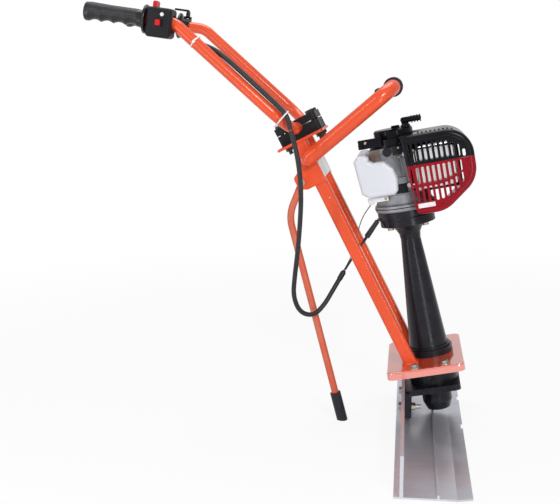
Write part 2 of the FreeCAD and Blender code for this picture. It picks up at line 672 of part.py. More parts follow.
def shroud():
    """Slotted two-colour cover over the cylinder and silencer, in an upper and a lower half."""
    near = -num("shroud_near")
    shell = shroud_block(0)
    tools = [shroud_block(num("shroud_wall"))]
    for at in range(int(num("slot_count"))):
        for low_share, high_share in ((0.12, 0.86), (-0.46, -0.06), (-0.88, -0.52)):
            x, low, high = slot_span(at, low_share, high_share)
            if high - low > 2.4 * num("slot_wide"):
                tools += slot_tool(x, low, high)
    for at in range(9):
        x = num("slot_first") + 20 + at * 0.8 * num("slot_pitch")
        tools.append(Part.makeBox(3.4, 40, 40, Vector(x, near + 16, num("shroud_top") - 25)))
    clear = 1.5
    tools.append(Part.makeCylinder(num("case_round") + clear, num("case_high") + num("case_step_high") + 20,
                                   spot("0", "0", CASE_LOW) - Vector(0, 0, 20)))
    tools.append(Part.makeCylinder(num("starter_round") + clear, num("shroud_top"),
                                   spot("0", "0", BLOCK_TOP)))
    tools.append(Part.makeBox(60, 2 * (num("block_half") + clear), num("block_high") + 4,
                              Vector(-36, -num("block_half") - clear, num(STEP_TOP) - 2)))
    shell = shell.cut(tools[0].fuse(tools[1:]))
    split = num("shroud_split")
    size = 400
    above = Part.makeBox(size, size, size, Vector(-size / 2, -size / 2, split + num("seat_gap") / 2))
    below = Part.makeBox(size, size, size, Vector(-size / 2, -size / 2, split - size - num("seat_gap") / 2))
    made(largest(shell.common(above)), "shroud_upper", STACK)
    made(largest(shell.common(below)), "shroud_lower", STACK)


def largest(shape):
    return max(shape.Solids, key=lambda solid: solid.Volume)


def tank():
    """Moulded tank that wraps the back of the block, with its filler on the far side."""
    corners = [
        ("-tank_back + 6", "tank_low + 10"), ("-tank_back + 20", "tank_low"), ("tank_front - 9", "tank_low"),
        ("tank_front - 2", "tank_low + 7"), ("tank_front", "tank_low + 30"),
        ("tank_front - 4", "tank_step - 17"), ("-24", "tank_step"),
        ("-tank_neck + 6", "tank_step"), ("-tank_neck - 2", "tank_step + 5"),
        ("-tank_neck - 2", "tank_top - 6"), ("-tank_neck - 8", "tank_top"), ("-tank_back + 8", "tank_top"),
        ("-tank_back", "tank_top - 9"),
    ]
    body = extruded("fuel_tank", "XZ_Plane", corners, "2 * tank_near")
    doc.recompute()
    soft = rounded(body, "tank_round", lambda mid, way: abs(abs(mid.y) - num("tank_near")) < 0.01)
    room = block(("-block_back", "60"), ("-block_half", "block_half"),
                 ("tank_low - 1", "tank_top + 1"))
    neck = rod("cap_round - 5", "tank_near - 1", "tank_near + 6", "-56", "505", ALONG_Y)
    keep(fuse(cut(soft, room), neck), "fuel_tank", STACK)
    cap = rod("cap_round", "tank_near + 0.4", "tank_near + cap_high", "-56", "505", ALONG_Y)
    recess = rod("cap_round - 5 + 0.4", "tank_near - 1", "tank_near + 6.4", "-56", "505", ALONG_Y)
    keep(cut(cap, recess), "fuel_cap", STACK)


def starter():
    """Recoil starter on top: housing with arms, rope pulley and pull handle."""
    low = BLOCK_TOP
    mid = low + " + starter_high"
    top = STARTER_TOP
    inside = "starter_drum - starter_wall"
    body = turned("starter_housing", [
        ("starter_round - starter_wall", low), ("starter_round", low), ("starter_round", mid),
        ("starter_drum", mid), ("starter_drum", top + " - 3"), ("starter_drum - 3", top), ("0", top),
        ("0", top + " - starter_wall"), (inside, top + " - starter_wall"),
        (inside, mid + " - starter_wall"), ("starter_round - starter_wall", mid + " - starter_wall")])
    arms = []
    for angle, reach in ((215, "arm_reach + 11"), (325, "arm_reach"), (100, "arm_reach")):
        arm = block(("starter_round - 4", "starter_round + " + reach), ("-8", "8"),
                    (low + " + 5", low + " + 14"))
        spin = Placement(Vector(), Rotation(Z_AXIS, angle))
        arm.Placement = spin.multiply(arm.Placement)
        arms.append(arm)
    post = rod("post_round", mid + " - 2.5", top + " - 1")
    keeper = rod("post_round + 4", mid + " - 2.5", mid + " - seat_gap")
    seat = rod("9", top + " - 1", top + " + 4", "rope_x", "rope_y")
    hole = rod("3.2", low + " - 1", top + " + 5", "rope_x", "rope_y")
    keep(cut(fuse(body, *arms, seat, post, keeper), hole), "starter_housing", STACK)
    pulley = turned("starter_pulley", [
        ("post_round + fit_gap", mid), ("pulley_round", mid), ("pulley_round", mid + " + 2"),
        ("pulley_round - 4", mid + " + 3"), ("pulley_round - 4", mid + " + pulley_high - 3"),
        ("pulley_round", mid + " + pulley_high - 2"), ("pulley_round", mid + " + pulley_high"),
        ("post_round + fit_gap", mid + " + pulley_high")])
    keep(pulley, "starter_pulley", STACK)
    grip = block(("rope_x - pull_back", "rope_x + pull_front"), ("rope_y - 10", "rope_y + 10"),
                 (top + " + 7", top + " + 18"))
    grip = rounded(grip, "5", lambda middle, way: True)
    stem = rod("7", top + " + 4.3", top + " + 8", "rope_x", "rope_y")
    rope = rod("1.8", low + " + 2", top + " + 5", "rope_x", "rope_y")
    keep(fuse(grip, stem, rope), "starter_handle", STACK)


def oil_knob():
    head = rod("8.5", "-block_half - 18", "-block_half - 8", "-16", "548", ALONG_Y)
    neck = rod("5", "-block_half - 8", "-block_half - 0.3", "-16", "548", ALONG_Y)
    keep(fuse(head, neck), "oil_cap", STACK)


# ---------------------------------------------------------------- fork
def fork_legs():
    """Two square tubes with rounded corners, trimmed to the base plate."""
    half = "leg_wide / 2"
    room = num("leg_long + fork_foot_high")
    plane = Part.makeBox(room, room, room, Vector(-room / 2, -room / 2, num(PLATE_TOP)))
    plane.Placement = STACK.multiply(plane.Placement)
    for side, label in ((-1, "fork_leg_right"), (1, "fork_leg_left")):
        middle = "%d * leg_away" % side
        outer = rounded(block(("-" + half, half), ("%s - %s" % (middle, half), "%s + %s" % (middle, half)),
                              ("-40", "leg_long")), "leg_corner", upright)
        inner = "(%s - leg_wall)" % half
        bore = rounded(block(("-" + inner, inner), (middle + " - " + inner, middle + " + " + inner),
                             ("-41", "leg_long + 1")), "leg_corner - leg_wall", upright)
        tube = cut(outer, bore)
        doc.recompute()
        shape = tube.Shape.copy()
        shape.Placement = FORK.multiply(shape.Placement)
        shape = shape.common(plane)
        doc.removeObject(tube.Name)
        made(largest(shape), label)


def fork_head():
    """Head plate across both legs, with its bolt holes."""
    plate = block(("-head_half", "head_half"), ("-head_side", "head_side"),
                  ("leg_long", "leg_long + head_plate"))
    plate = rounded(plate, "8", upright)
    holes = [rod("bolt_round + 0.3", "leg_long - 1", "leg_long + head_plate + 1", x, y)
             for x, y in CLAMP_BOLTS]
    keep(cut(plate, *holes), "fork_head_plate", FORK)
    blank = block(("leg_wide / 2", "leg_wide / 2 + 1.5"), ("-leg_away - 12", "leg_away + 12"),
                  ("leg_long - blank_drop", "leg_long - blank_drop + blank_high"))
    keep(blank, "blank_plate", FORK)


CLAMP_BOLTS = [("bar_offset + %d * clamp_bolt_u" % u, "%d * clamp_bolt_y" % y)
               for u in (-1, 1) for y in (-1, 1)]
BAR_LEVEL = "leg_long + bar_above"


def clamp():
    """Lower and upper jaws round the handlebar's cross tube, four bolts and their nuts."""
    ends = ("bar_offset - jaw_long / 2", "bar_offset + jaw_long / 2")
    sides = ("-jaw_half", "jaw_half")
    low = "leg_long + head_plate"
    split = BAR_LEVEL + " - jaw_split / 2"
    jaws = (("clamp_lower_jaw", low, split), ("clamp_upper_jaw", split + " + jaw_split",
            BAR_LEVEL + " + jaw_high"))
    for label, bottom, top in jaws:
        slab = rounded(block(ends, sides, (bottom, top)), "7", upright)
        bore = rod("bar_round + fit_gap", "-jaw_half - 1", "jaw_half + 1", "bar_offset", BAR_LEVEL, ALONG_Y)
        holes = [rod("bolt_round + 0.3", bottom + " - 1", top + " + 1", x, y) for x, y in CLAMP_BOLTS]
        relief = block((ends[0] + " + 14", ends[1] + " - 14"), ("-14", "14"), (
            (BAR_LEVEL + " + bar_round + 1.5") if "upper" in label else bottom + " - 1",
            (top + " + 1") if "upper" in label else (BAR_LEVEL + " - bar_round - 6")))
        keep(cut(slab, bore, *holes, relief), label, FORK)
    bolts = []
    for x, y in CLAMP_BOLTS:
        top = BAR_LEVEL + " + jaw_high"
        head = hexagon("bolt_head", top, top + " + bolt_head_high", x, y)
        shank = rod("bolt_round", "leg_long - 14", top, x, y)
        nut = hexagon("bolt_head", "leg_long - 7", "leg_long", x, y)
        bolts.append(fuse(head, shank, nut))
    keep(group(*bolts), "clamp_bolts", FORK)


# ---------------------------------------------------------------- handlebar
def bar_spots():
    """Corners of the bar from the right hand round the clamp to the left hand."""
    axis = FORK.multVec(spot("bar_offset", "0", BAR_LEVEL))
    arm = math.radians(num("arm_rise"))
    hand = math.radians(num("hand_rise"))
    elbow = axis + Vector(-math.cos(arm), 0, math.sin(arm)) * num("arm_long")
    end = elbow + Vector(-math.cos(hand), 0, math.sin(hand)) * (num(SWITCH_FRONT) + 1)
    right = Vector(0, -num("bar_half"), 0)
    left = Vector(0, num("bar_half"), 0)
    return [end + right, elbow + right, axis + right, axis + left, elbow + left, end + left]


def handlebar():
    radii = [num("arm_bend"), num("cross_bend"), num("cross_bend"), num("arm_bend")]
    made(hollow(bar_spots(), radii, num("bar_round"), num("bar_wall")), "handlebar")


def hand_frame(side):
    """Frame at the bar's end: X runs forward along the hand tube, Z up from it."""
    spots = bar_spots()
    end = spots[0] if side < 0 else spots[-1]
    return Placement(end, Rotation(Y_AXIS, num("hand_rise")))


def grips():
    """Rubber sleeves with a closed end, finger grooves and a flange next to the controls."""
    bore = "bar_round + fit_gap"
    waves = []
    steps = 6
    for at in range(steps):
        start = "4.5 + %d * (grip_long - 12) / %d" % (at, steps)
        crest = start + " + (grip_long - 12) / %d" % (2 * steps)
        swell = "grip_round + %d * (grip_root - grip_round) / %d" % (at, steps)
        waves += [(swell + " - 1.1", start), (swell + " + 0.5", crest)]
    corners = [("0", "-3.5"), ("grip_round - 3", "-3.5"), ("grip_round", "0.5")] + waves + [
        ("grip_root", "grip_long - 4"), ("grip_flange", "grip_long - 3"), ("grip_flange", "grip_long - 3 "
         "+ grip_flange_thick"), (bore, "grip_long - 3 + grip_flange_thick"), (bore, "0"), ("0", "0")]
    for side, label in ((-1, "right_grip"), (1, "left_grip")):
        sleeve = turned(label, corners)
        sleeve.Placement = Placement(Vector(), ALONG_X)
        keep(sleeve, label, hand_frame(side))


SWITCH_BACK = "grip_long - 3 + grip_flange_thick + switch_from_grip"
SWITCH_FRONT = SWITCH_BACK + " + switch_long"


def switch_box():
    """Control box in two halves round the bar, beside the right grip."""
    frame = hand_frame(-1)
    near, far = "-switch_deep / 2 + 1", "switch_deep / 2 - 2"
    low, top = "-switch_tall / 2 - 2", "switch_tall / 2 - 4"
    bore = rod("bar_round + fit_gap", SWITCH_BACK + " - 1", SWITCH_FRONT + " + 1", "0", "0", ALONG_X)
    front = rounded(block((SWITCH_BACK, SWITCH_FRONT), (near, "-0.15"), (low, top)), "7",
                    lambda mid, way: mid.y < num(near) + 1 or (abs(way.y) > 0.99))
    relief = rod("bar_round + 2.2", SWITCH_FRONT + " - 14", SWITCH_FRONT + " + 1", "0", "0", ALONG_X)
    window = block((SWITCH_BACK + " + 18", SWITCH_BACK + " + 34"), (near + " - 1", near + " + 4"),
                   ("-9", "3"))
    button_hole = rod("button_round + seat_gap", near + " - 1", near + " + 6", SWITCH_BACK + " + 30",
                      "12", ALONG_Y)
    lever_slot = block((SWITCH_BACK + " + 4", SWITCH_BACK + " + 23"), (near + " + 5", "8"), (
        "bar_round + 5", "switch_tall"))
    keep(cut(front, bore, relief, window, button_hole, lever_slot), "switch_housing_outer", frame)
    back = rounded(block((SWITCH_BACK, SWITCH_FRONT), ("0.15", far), (low, top)), "7",
                   lambda mid, way: mid.y > num(far) - 1 or (abs(way.y) > 0.99))
    bore = rod("bar_round + fit_gap", SWITCH_BACK + " - 1", SWITCH_FRONT + " + 1", "0", "0", ALONG_X)
    lever_slot = block((SWITCH_BACK + " + 4", SWITCH_BACK + " + 23"), ("-1", "8"), (
        "bar_round + 5", "switch_tall"))
    relief = rod("bar_round + 2.2", SWITCH_FRONT + " - 14", SWITCH_FRONT + " + 1", "0", "0", ALONG_X)
    keep(cut(back, bore, relief, lever_slot), "switch_housing_inner", frame)
    controls(frame, near)


def controls(frame, near):
    """Red throttle lever, red stop slider and round start button."""
    pin_x, pin_z = SWITCH_BACK + " + 13.5", "20"
    boss = rod("3.2", near + " + 6.5", "6.5", pin_x, pin_z, ALONG_Y)
    paddle = block((SWITCH_BACK + " + 9", SWITCH_BACK + " + 17"), (near + " + 8", "5"), ("21", "35"))
    paddle = rounded(paddle, "3", lambda mid, way: mid.z > 34)
    keep(fuse(boss, paddle), "throttle_lever", frame)
    slider = block((SWITCH_BACK + " + 18.5", SWITCH_BACK + " + 18.5 + slider_long"),
                   (near + " - 2.5", near + " + 3.6"), ("-8.3", "2.3"))
    keep(rounded(slider, "1.2", lambda mid, way: mid.y < num(near) - 2), "stop_switch", frame)
    button = rod("button_round", near + " - 2.5", near + " + 3.6", SWITCH_BACK + " + 30", "12", ALONG_Y)
    keep(button, "start_button", frame)


def left_control():
    """Mounting collar and short clutch lever on the left hand's side."""
    frame = hand_frame(1)
    start = "grip_long + grip_flange_thick"
    collar = rod("bar_round + 5", start, start + " + 15", "0", "0", ALONG_X)
    foot = block((start, start + " + 15"), ("4", "14"), ("8", "21"))
    bore = rod("bar_round + fit_gap", start + " - 1", start + " + 17", "0", "0", ALONG_X)
    slot = block((start + " + 4", start + " + 11"), ("2", "17"), ("16.5", "24"))
    keep(cut(fuse(collar, foot), bore, slot), "left_lever_mount", frame)
    disc = rod("7.5", start + " + 4.5", start + " + 10.5", "9", "24.6", ALONG_X)
    tab = block((start + " - 22", start + " + 9"), ("4.5", "13.5"), ("30.8", "35"))
    keep(fuse(disc, rounded(tab, "1.8", lambda mid, way: True)), "left_lever", frame)


# ---------------------------------------------------------------- lift handle
def lift_handle():
    """Bent tube welded to the gussets on both sides, with a rubber sleeve on its top bar."""
    base = FORK.multVec(spot("lift_in", "0", "leg_long - lift_drop"))
    top = STACK.multVec(spot("lift_ahead", "0", STARTER_TOP + " + lift_clear"))
    way = (top - base).normalize()
    rise = math.degrees(math.atan2(way.z, way.x))
    away = num("leg_away + leg_wide / 2 + gusset_thick + seat_gap + lift_round")
    side = Vector(0, away, 0)
    spots = [base - side, top - side, top + side, base + side]
    bend = num("lift_bend")
    loop = hollow(spots, [bend] * 2, num("lift_round"), num("lift_wall"))
    ends = [Part.makeSphere(num("lift_round"), end, way * -1, 0, 90, 360) for end in (spots[0], spots[-1])]
    made(loop.fuse(ends), "lift_handle")
    half = away - bend
    centre = top - Vector(0, half, 0)
    outer = Part.makeCylinder(num("lift_grip_round"), 2 * half, centre, Y_AXIS)
    up = Vector(-way.z, 0, way.x)
    back = num("lift_grip_round") + 9
    fin = Part.makeBox(back, 2 * half, 4)
    fin.Placement = Placement(centre - way * back + up * 10, Rotation(Y_AXIS, -rise))
    bead = Part.makeCylinder(num("lift_bead"), 2 * half, centre - way * back + up * 12, Y_AXIS)
    bore = Part.makeCylinder(num("lift_round + fit_gap"), 4 * half, top - Vector(0, 2 * half, 0), Y_AXIS)
    made(outer.fuse([fin, bead]).cut(bore), "lift_grip")


# ---------------------------------------------------------------- kickstand
STAND_LEVEL = "leg_long - stand_drop"


def gussets():
    """Side plates on both legs, which carry the lift handle, and the inner ear of the stand's pin."""
    front, back, out = num("leg_wide") / 2, -num("leg_wide") / 2, -num("stand_out") - 11
    ear = [(front, -17), (front, 55), (back - 1, 55), (back - 8, 26), (out, 13), (out, -11), (back - 14, -18)]
    plain = [(front, -17), (front, 55), (back - 1, 55), (back - 1, -17)]
    inner = [(back, -15), (back, 19), (out, 13), (out, -11), (back - 14, -18)]
    face = num("leg_away + leg_wide / 2")
    thick = num("gusset_thick")
    level = num(STAND_LEVEL)
    plates = []
    for corners, start in ((ear, -face - thick), (plain, face), (inner, num("leg_wide") - face)):
        spots = [Vector(u, start, w + level) for u, w in corners]
        soft = [2, 4, 6, 14, 8, 8, 10][:len(spots)] if len(spots) == 7 else [3] * len(spots)
        plate = Part.Face(bent_wire(spots, soft, closed=True)).extrude(Vector(0, thick, 0))
        pin = spot("-stand_out", "0", STAND_LEVEL)
        plates.append(plate.cut(Part.makeCylinder(num("stand_pin + fit_gap"), 2 * face, pin, -Y_AXIS)))
    made(Part.makeCompound(plates), "gusset_plates", FORK)


def kickstand():
    """Bent rod on a pin behind the right fork leg, with a rubber foot."""
    level, out = STAND_LEVEL, "-stand_out"
    y = "-leg_away"
    outer = "-leg_away - leg_wide / 2 - gusset_thick"
    inner = "-leg_away + leg_wide / 2 + gusset_thick"
    pin = rod("stand_pin", outer + " - 3", inner + " + 3", out, level, ALONG_Y)
    head = rod("stand_pin + 3", outer + " - 3", outer, out, level, ALONG_Y)
    tail = rod("stand_pin + 3", inner, inner + " + 3", out, level, ALONG_Y)
    keep(fuse(pin, head, tail), "stand_pin", FORK)
    pivot = FORK.multVec(spot(out, y, level))
    knee = pivot + Vector(-26, 0, -66)
    foot = Vector(-num("stand_back"), pivot.y, 4)
    bar = swept([pivot + Vector(-2, 0, -5), knee, foot], [num("stand_bend")], num("stand_round"))
    wide = num("leg_wide") - 1
    eye = Part.makeCylinder(num("stand_eye"), wide, pivot - Vector(0, wide / 2, 0), Y_AXIS)
    hole = Part.makeCylinder(num("stand_pin + fit_gap"), 2 * wide, pivot - Vector(0, wide, 0), Y_AXIS)
    made(bar.fuse(eye).cut(hole), "kickstand")
    way = (foot - knee).normalize()
    high = foot - way * num("stand_foot_high")
    boot = Part.makeCylinder(num("stand_foot_round"), num("stand_foot_high") + 6, high, way)
    boot = boot.cut(Part.makeCylinder(num("stand_round + fit_gap"), num("stand_foot_high"), high, way))
    room = num("stand_foot_high")
    floor = Part.makeBox(2 * room, 2 * room, room, Vector(foot.x - room, foot.y - room, -room))
    made(boot.cut(floor), "stand_boot")


# ---------------------------------------------------------------- cable
# Along the arm: share of its length, distance past that, and how far above and beside its middle line.
ARM_ROUTE = [(0, 10.7, -10.8, 14), (0, 24.4, -7.3, 16.4), (0, 49.9, -1.3, 17.3), (0, 85, 13.4, 12.8),
             (0.4, 3.9, 16.4, 1), (0.6, -4.2, 16.8, -1), (1, -64.9, 16.5, -2.5), (1, -25, 16.4, -9.9),
             (1, -1.5, 0.5, -11)]
# Hanging loop: share of the drop from the clamp to the sheath's end, sideways swing, and Y.
HANG_ROUTE = [(0, 0, -151), (0.08, 0.4, -152), (0.22, -3.2, -149), (0.4, -15, -142), (0.58, -33, -134),
              (0.77, -54, -127), (0.94, -75, -119), (1.07, -89.5, -111), (1.185, -87, -101),
              (1.215, -64, -87), (1.15, -39, -70), (1.075, -19.5, -53), (1, 0, -37)]
# In the stack's frame, heights above the engine's underside.
SHEATH_END = (-150.2, -37, -97.8)
CORE_ROUTE = [(-137.3, -25.5, -83.4), (-114.8, -21, -58.7), (-90.7, -20, -33.3)]
WIRE_ROUTE = [(-140.7, -23, -85.3), (-124, -6, -67.1), (-107.9, 2, -35.5), (-95.7, 4, -3.2),
              (-78.8, 2, 22.1), (-57.3, -2, 40.4)]


def stack_spot(x, y, up):
    return STACK.multVec(Vector(x, y, num(CASE_LOW) + up))


def arm_spots():
    elbow, axis = bar_spots()[1:3]
    along = (axis - elbow).normalize()
    above = Vector(-along.z, 0, along.x)
    return [elbow + along * (share * num("arm_long") + past) + above * up + Vector(0, side, 0)
            for share, past, up, side in ARM_ROUTE]


def hang_spots():
    start = bar_spots()[2]
    drop = stack_spot(*SHEATH_END) - start
    return [Vector(start.x + share * drop.x + swing, y, start.z + share * drop.z)
            for share, swing, y in HANG_ROUTE]


def cables():
    """Sheathed throttle cable along the right arm, its free hanging loop and the inner wires."""
    core, wire = ([stack_spot(*at) for at in route] for route in (CORE_ROUTE, WIRE_ROUTE))
    for spots, radius, label in ((arm_spots(), "cable_round", "cable_on_arm"),
                                 (hang_spots(), "cable_round", "cable_hanging"),
                                 (core, "wire_round + 0.4", "throttle_core"),
                                 (wire, "wire_round - 0.6", "stop_wire")):
        radii = soft_radii(spots)
        print(label, "radii", [round(r) for r in radii])
        made(swept(spots, radii, num(radius)), label)
    cable_ends()


def cable_ends():
    """Ferrule at the sheath's end, and the adjuster with its boot below the engine."""
    before, end = hang_spots()[-2:]
    way = (end - before).normalize()
    ferrule = Part.makeCylinder(num("ferrule_round"), 16, end, way)
    nose = Part.makeCone(num("ferrule_round"), 2.6, 5, end + way * 16, way)
    before, end = [stack_spot(*at) for at in CORE_ROUTE[-2:]]
    way = (end - before).normalize()
    tip = Part.makeCylinder(3, 10, end, way)
    boot = Part.makeCone(5.6, 4.6, 38, end + way * 10, way)
    stud = Part.makeCylinder(2.5, 16, end + way * 48, way)
    wires = Part.makeCompound([node.Shape for node in NODES if node.Label in ("throttle_core", "stop_wire")])
    case = Part.makeCompound([node.Shape for node in NODES if node.Label.startswith("crankcase")])
    adjuster = largest(tip.fuse([boot, stud]).cut(case))
    made(Part.makeCompound([ferrule.fuse(nose).cut(wires), adjuster]), "cable_ends")


def shared():
    """Bearings and housing bolts that occur in several places, each kind in one group."""
    keep(group(*eccentric(), *drive_shaft()), "shaft_bearings", STACK)
    keep(group(*exciter_bolts(), *column_bolts()), "housing_bolts", STACK)


for make in (blade, blade_bolts, exciter_bracket, exciter_housing, exciter_cover, shared,
             base_plate, plate_bolts, column, crankcase, crankshaft, flywheel,
             clutch_shoes, cylinder, muffler, carburettor, shroud, tank, starter, oil_knob, fork_legs,
             fork_head, clamp, handlebar, grips, switch_box, left_control, lift_handle, gussets,
             kickstand, cables):
    make()
doc.recompute()


def check_and_write():
    for thing in doc.Objects:
        if "Invalid" in thing.State or "Error" in thing.State:
            raise RuntimeError("%s failed: %s" % (thing.Label, thing.State))
    os.makedirs("parts", exist_ok=True)
    for node in NODES:
        shape = node.Shape
        if shape.isNull() or not shape.isValid() or not shape.Solids:
            raise RuntimeError("%s has a bad shape" % node.Label)
        shape.exportStep("parts/%s.step" % node.Label)
    print(len(NODES), "sub-parts written")


check_and_write()
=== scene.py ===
import math

import bpy
from mathutils import Matrix, Vector


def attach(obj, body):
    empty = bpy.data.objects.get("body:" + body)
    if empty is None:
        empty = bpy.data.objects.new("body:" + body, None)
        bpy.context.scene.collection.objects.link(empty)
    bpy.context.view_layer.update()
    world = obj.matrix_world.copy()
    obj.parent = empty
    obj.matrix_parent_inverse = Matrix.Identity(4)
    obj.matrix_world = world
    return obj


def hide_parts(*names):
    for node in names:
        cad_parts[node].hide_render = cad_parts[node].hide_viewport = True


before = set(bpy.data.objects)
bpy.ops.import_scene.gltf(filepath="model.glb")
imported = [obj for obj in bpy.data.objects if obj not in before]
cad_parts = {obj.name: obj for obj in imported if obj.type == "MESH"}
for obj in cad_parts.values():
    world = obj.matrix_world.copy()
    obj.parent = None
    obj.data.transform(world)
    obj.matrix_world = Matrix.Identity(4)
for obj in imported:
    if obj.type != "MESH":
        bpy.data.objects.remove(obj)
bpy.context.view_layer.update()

bl_info = {
    "name": "Vibratory Screed Finish",
    "version": (1, 0, 0),
    "blender": (4, 5, 0),
    "location": "3D View > Sidebar > Screed",
    "description": "Dresses a walk-behind concrete screed: paint, metal, rubber, cables, ties and welds",
    "category": "Object",
}

# Lengths are in metres and named angles in degrees, unless a comment says otherwise.

# Routes of the free cables, from the handlebar clamp down to the engine.
HANGING_ROUTE = [
    (-0.27408, -0.151, 0.58041), (-0.26696, -0.152, 0.55662), (-0.25879, -0.149, 0.51498),
    (-0.25547, -0.142, 0.46144), (-0.25834, -0.134, 0.40791), (-0.26338, -0.127, 0.3514),
    (-0.27009, -0.119, 0.30084), (-0.27367, -0.111, 0.26218), (-0.2615, -0.101, 0.22797),
    (-0.23598, -0.087, 0.21905), (-0.21644, -0.07, 0.23838), (-0.20325, -0.053, 0.26069),
    (-0.19005, -0.037, 0.28299),
]
WIRE_ROUTE = [
    (-0.18302, -0.023, 0.29704), (-0.16997, -0.006, 0.31801), (-0.15999, 0.002, 0.35204),
    (-0.15397, 0.004, 0.38604), (-0.14204, 0.002, 0.41402), (-0.12429, -0.002, 0.43598),
]


def slanted(x, z, degrees):
    """A frame with its foot at x, z whose upright axis leans back about Y."""
    return Matrix.Translation((x, 0, z)) @ Matrix.Rotation(math.radians(-degrees), 4, "Y")


# Frames of the leaning engine stack and of the fork; heights run along each one's Z.
STACK = slanted(0.016, 0, 10.65)
TO_STACK = STACK.inverted()
FORK = slanted(-0.046, 0.122, 26.9)
LEG_HALF = 0.0125  # half the width of a fork leg's square tube
LEG_AWAY = 0.057  # from the machine's middle to the middle of a leg

# The bar's radius, and its near arm: slope, elbow, the way down to the clamp and square to that.
BAR_ROUND = 0.011
ARM_SLOPE = 41.8
ELBOW = Vector((-0.4903, -0.140, 0.7737))
ARM_WAY = Vector((math.cos(math.radians(ARM_SLOPE)), 0, -math.sin(math.radians(ARM_SLOPE))))
ARM_UP = Vector((-ARM_WAY.z, 0, ARM_WAY.x))

# Each finish and the CAD pieces that wear it; the others have new pieces in their place.
FINISH_OF = {
    "orange_gloss": ("fork_leg_right", "fork_leg_left", "fork_head_plate", "gusset_plates",
                     "handlebar", "lift_handle"),
    "orange_plate": ("base_plate",),
    "orange_faded": ("kickstand",),
    "cast_black": ("column", "exciter_bracket", "exciter_housing", "exciter_cover"),
    "cast_grey": ("crankcase_upper", "engine_block", "cylinder", "carburettor", "flywheel_fan"),
    "extruded_alloy": ("screed_blade",),
    "zinc_plated": ("blade_bolts", "housing_bolts", "plate_bolts", "stand_pin"),
    "black_screw": ("clamp_bolts",),
    "bare_steel": ("shaft_bearings", "eccentric_shaft", "eccentric_weight", "drive_shaft",
                   "clutch_drum", "crankshaft", "clutch_shoes"),
    "bright_steel": ("muffler", "blank_plate"),
    "plain_rubber": ("lift_grip", "stand_boot"),
    "moulded_black": ("clamp_lower_jaw", "clamp_upper_jaw", "switch_housing_outer",
                      "switch_housing_inner", "left_lever_mount", "left_lever", "air_cleaner",
                      "starter_pulley", "fuel_cap", "oil_cap"),
    "gloss_black": ("shroud_upper", "starter_housing", "starter_handle"),
    "gloss_red": ("shroud_lower",),
    "control_red": ("throttle_lever", "stop_switch"),
    "pale_button": ("start_button",),
    "clear_tank": ("fuel_tank",),
    "cable_black": ("cable_on_arm", "throttle_core", "cable_ends"),
}


# ---------------------------------------------------------------- what a user may change
def colour_value(name, description, default):
    """A colour in the panel."""
    return bpy.props.FloatVectorProperty(name=name, description=description, default=default,
                                         subtype="COLOR", size=3, min=0, max=1)


def length_value(name, description, default):
    """A length in the panel."""
    return bpy.props.FloatProperty(name=name, description=description, default=default,
                                   subtype="DISTANCE", unit="LENGTH")


class ScreedColours(bpy.types.PropertyGroup):
    """Colours that a user may change."""
    paint: colour_value("Paint", "Enamel on the tubes and plates", (0.77, 0.074, 0.013))
    faded: colour_value("Faded paint", "Enamel on the kickstand", (0.62, 0.10, 0.045))
    casting: colour_value("Black casting", "Powder coat on the column and exciter",
                          (0.008, 0.008, 0.013))
    cowl: colour_value("Cowl red", "Lower half of the engine cover", (0.30, 0.004, 0.014))
    tank: colour_value("Tank", "Milky plastic of the fuel tank", (0.68, 0.69, 0.74))
    floor: colour_value("Floor", "Studio floor", (0.80, 0.80, 0.81))


class ScreedSizes(bpy.types.PropertyGroup):
    """Sizes that a user may change."""
    cable: length_value("Cable", "Diameter of the throttle cable's sheath", 0.0092)
    wire: length_value("Stop wire", "Diameter of the stop switch's wire", 0.0020)
    tie_width: length_value("Tie width", "Width of a cable tie's band", 0.0026)
    diamond: length_value("Grip diamonds", "Pitch of the raised diamonds on the hand grips", 0.0042)
    relief: length_value("Diamond height", "Height of the raised diamonds on the hand grips", 0.0009)
    finger: length_value("Finger pitch", "Distance between the finger ridges under a hand grip", 0.023)
    hollow: length_value("Finger depth", "Depth of the finger hollows under a hand grip", 0.0036)
    bead: length_value("Weld bead", "Radius of the drops in the weld beads", 0.0027)
    rim_in: length_value("Rim inset", "Distance of the cover's rim from its edge", 0.007)
    rim_thick: length_value("Rim", "Radius of the cover's rim", 0.0017)
    lens: bpy.props.FloatProperty(
        name="Lens", description="Focal length of the studio camera in millimetres",
        subtype="DISTANCE_CAMERA", unit="CAMERA", default=64.29)


# ---------------------------------------------------------------- shared shader effects
def node_group(name, inputs, outputs):
    """An empty shader group with named sockets, as (group, input node, output node)."""
    group = bpy.data.node_groups.new(name, "ShaderNodeTree")
    for label, kind, value in inputs:
        socket = group.interface.new_socket(name=label, in_out="INPUT", socket_type=kind)
        socket.default_value = value
    for label, kind in outputs:
        group.interface.new_socket(name=label, in_out="OUTPUT", socket_type=kind)
    return group, group.nodes.new("NodeGroupInput"), group.nodes.new("NodeGroupOutput")


def add(tree, kind, **settings):
    """A node with its settings."""
    node = tree.nodes.new(kind)
    for key, value in settings.items():
        setattr(node, key, value)
    return node


def math_node(tree, operation, a, b):
    """The result of a math node whose inputs are sockets or numbers."""
    node = add(tree, "ShaderNodeMath", operation=operation)
    for socket, value in zip(node.inputs, (a, b)):
        if isinstance(value, (int, float)):
            socket.default_value = value
        else:
            tree.links.new(value, socket)
    return node.outputs[0]


def object_noise(tree, detail):
    """A noise texture on Object coordinates."""
    where = add(tree, "ShaderNodeTexCoord")
    noise = add(tree, "ShaderNodeTexNoise")
    noise.inputs["Detail"].default_value = detail
    tree.links.new(where.outputs["Object"], noise.inputs["Vector"])
    return noise


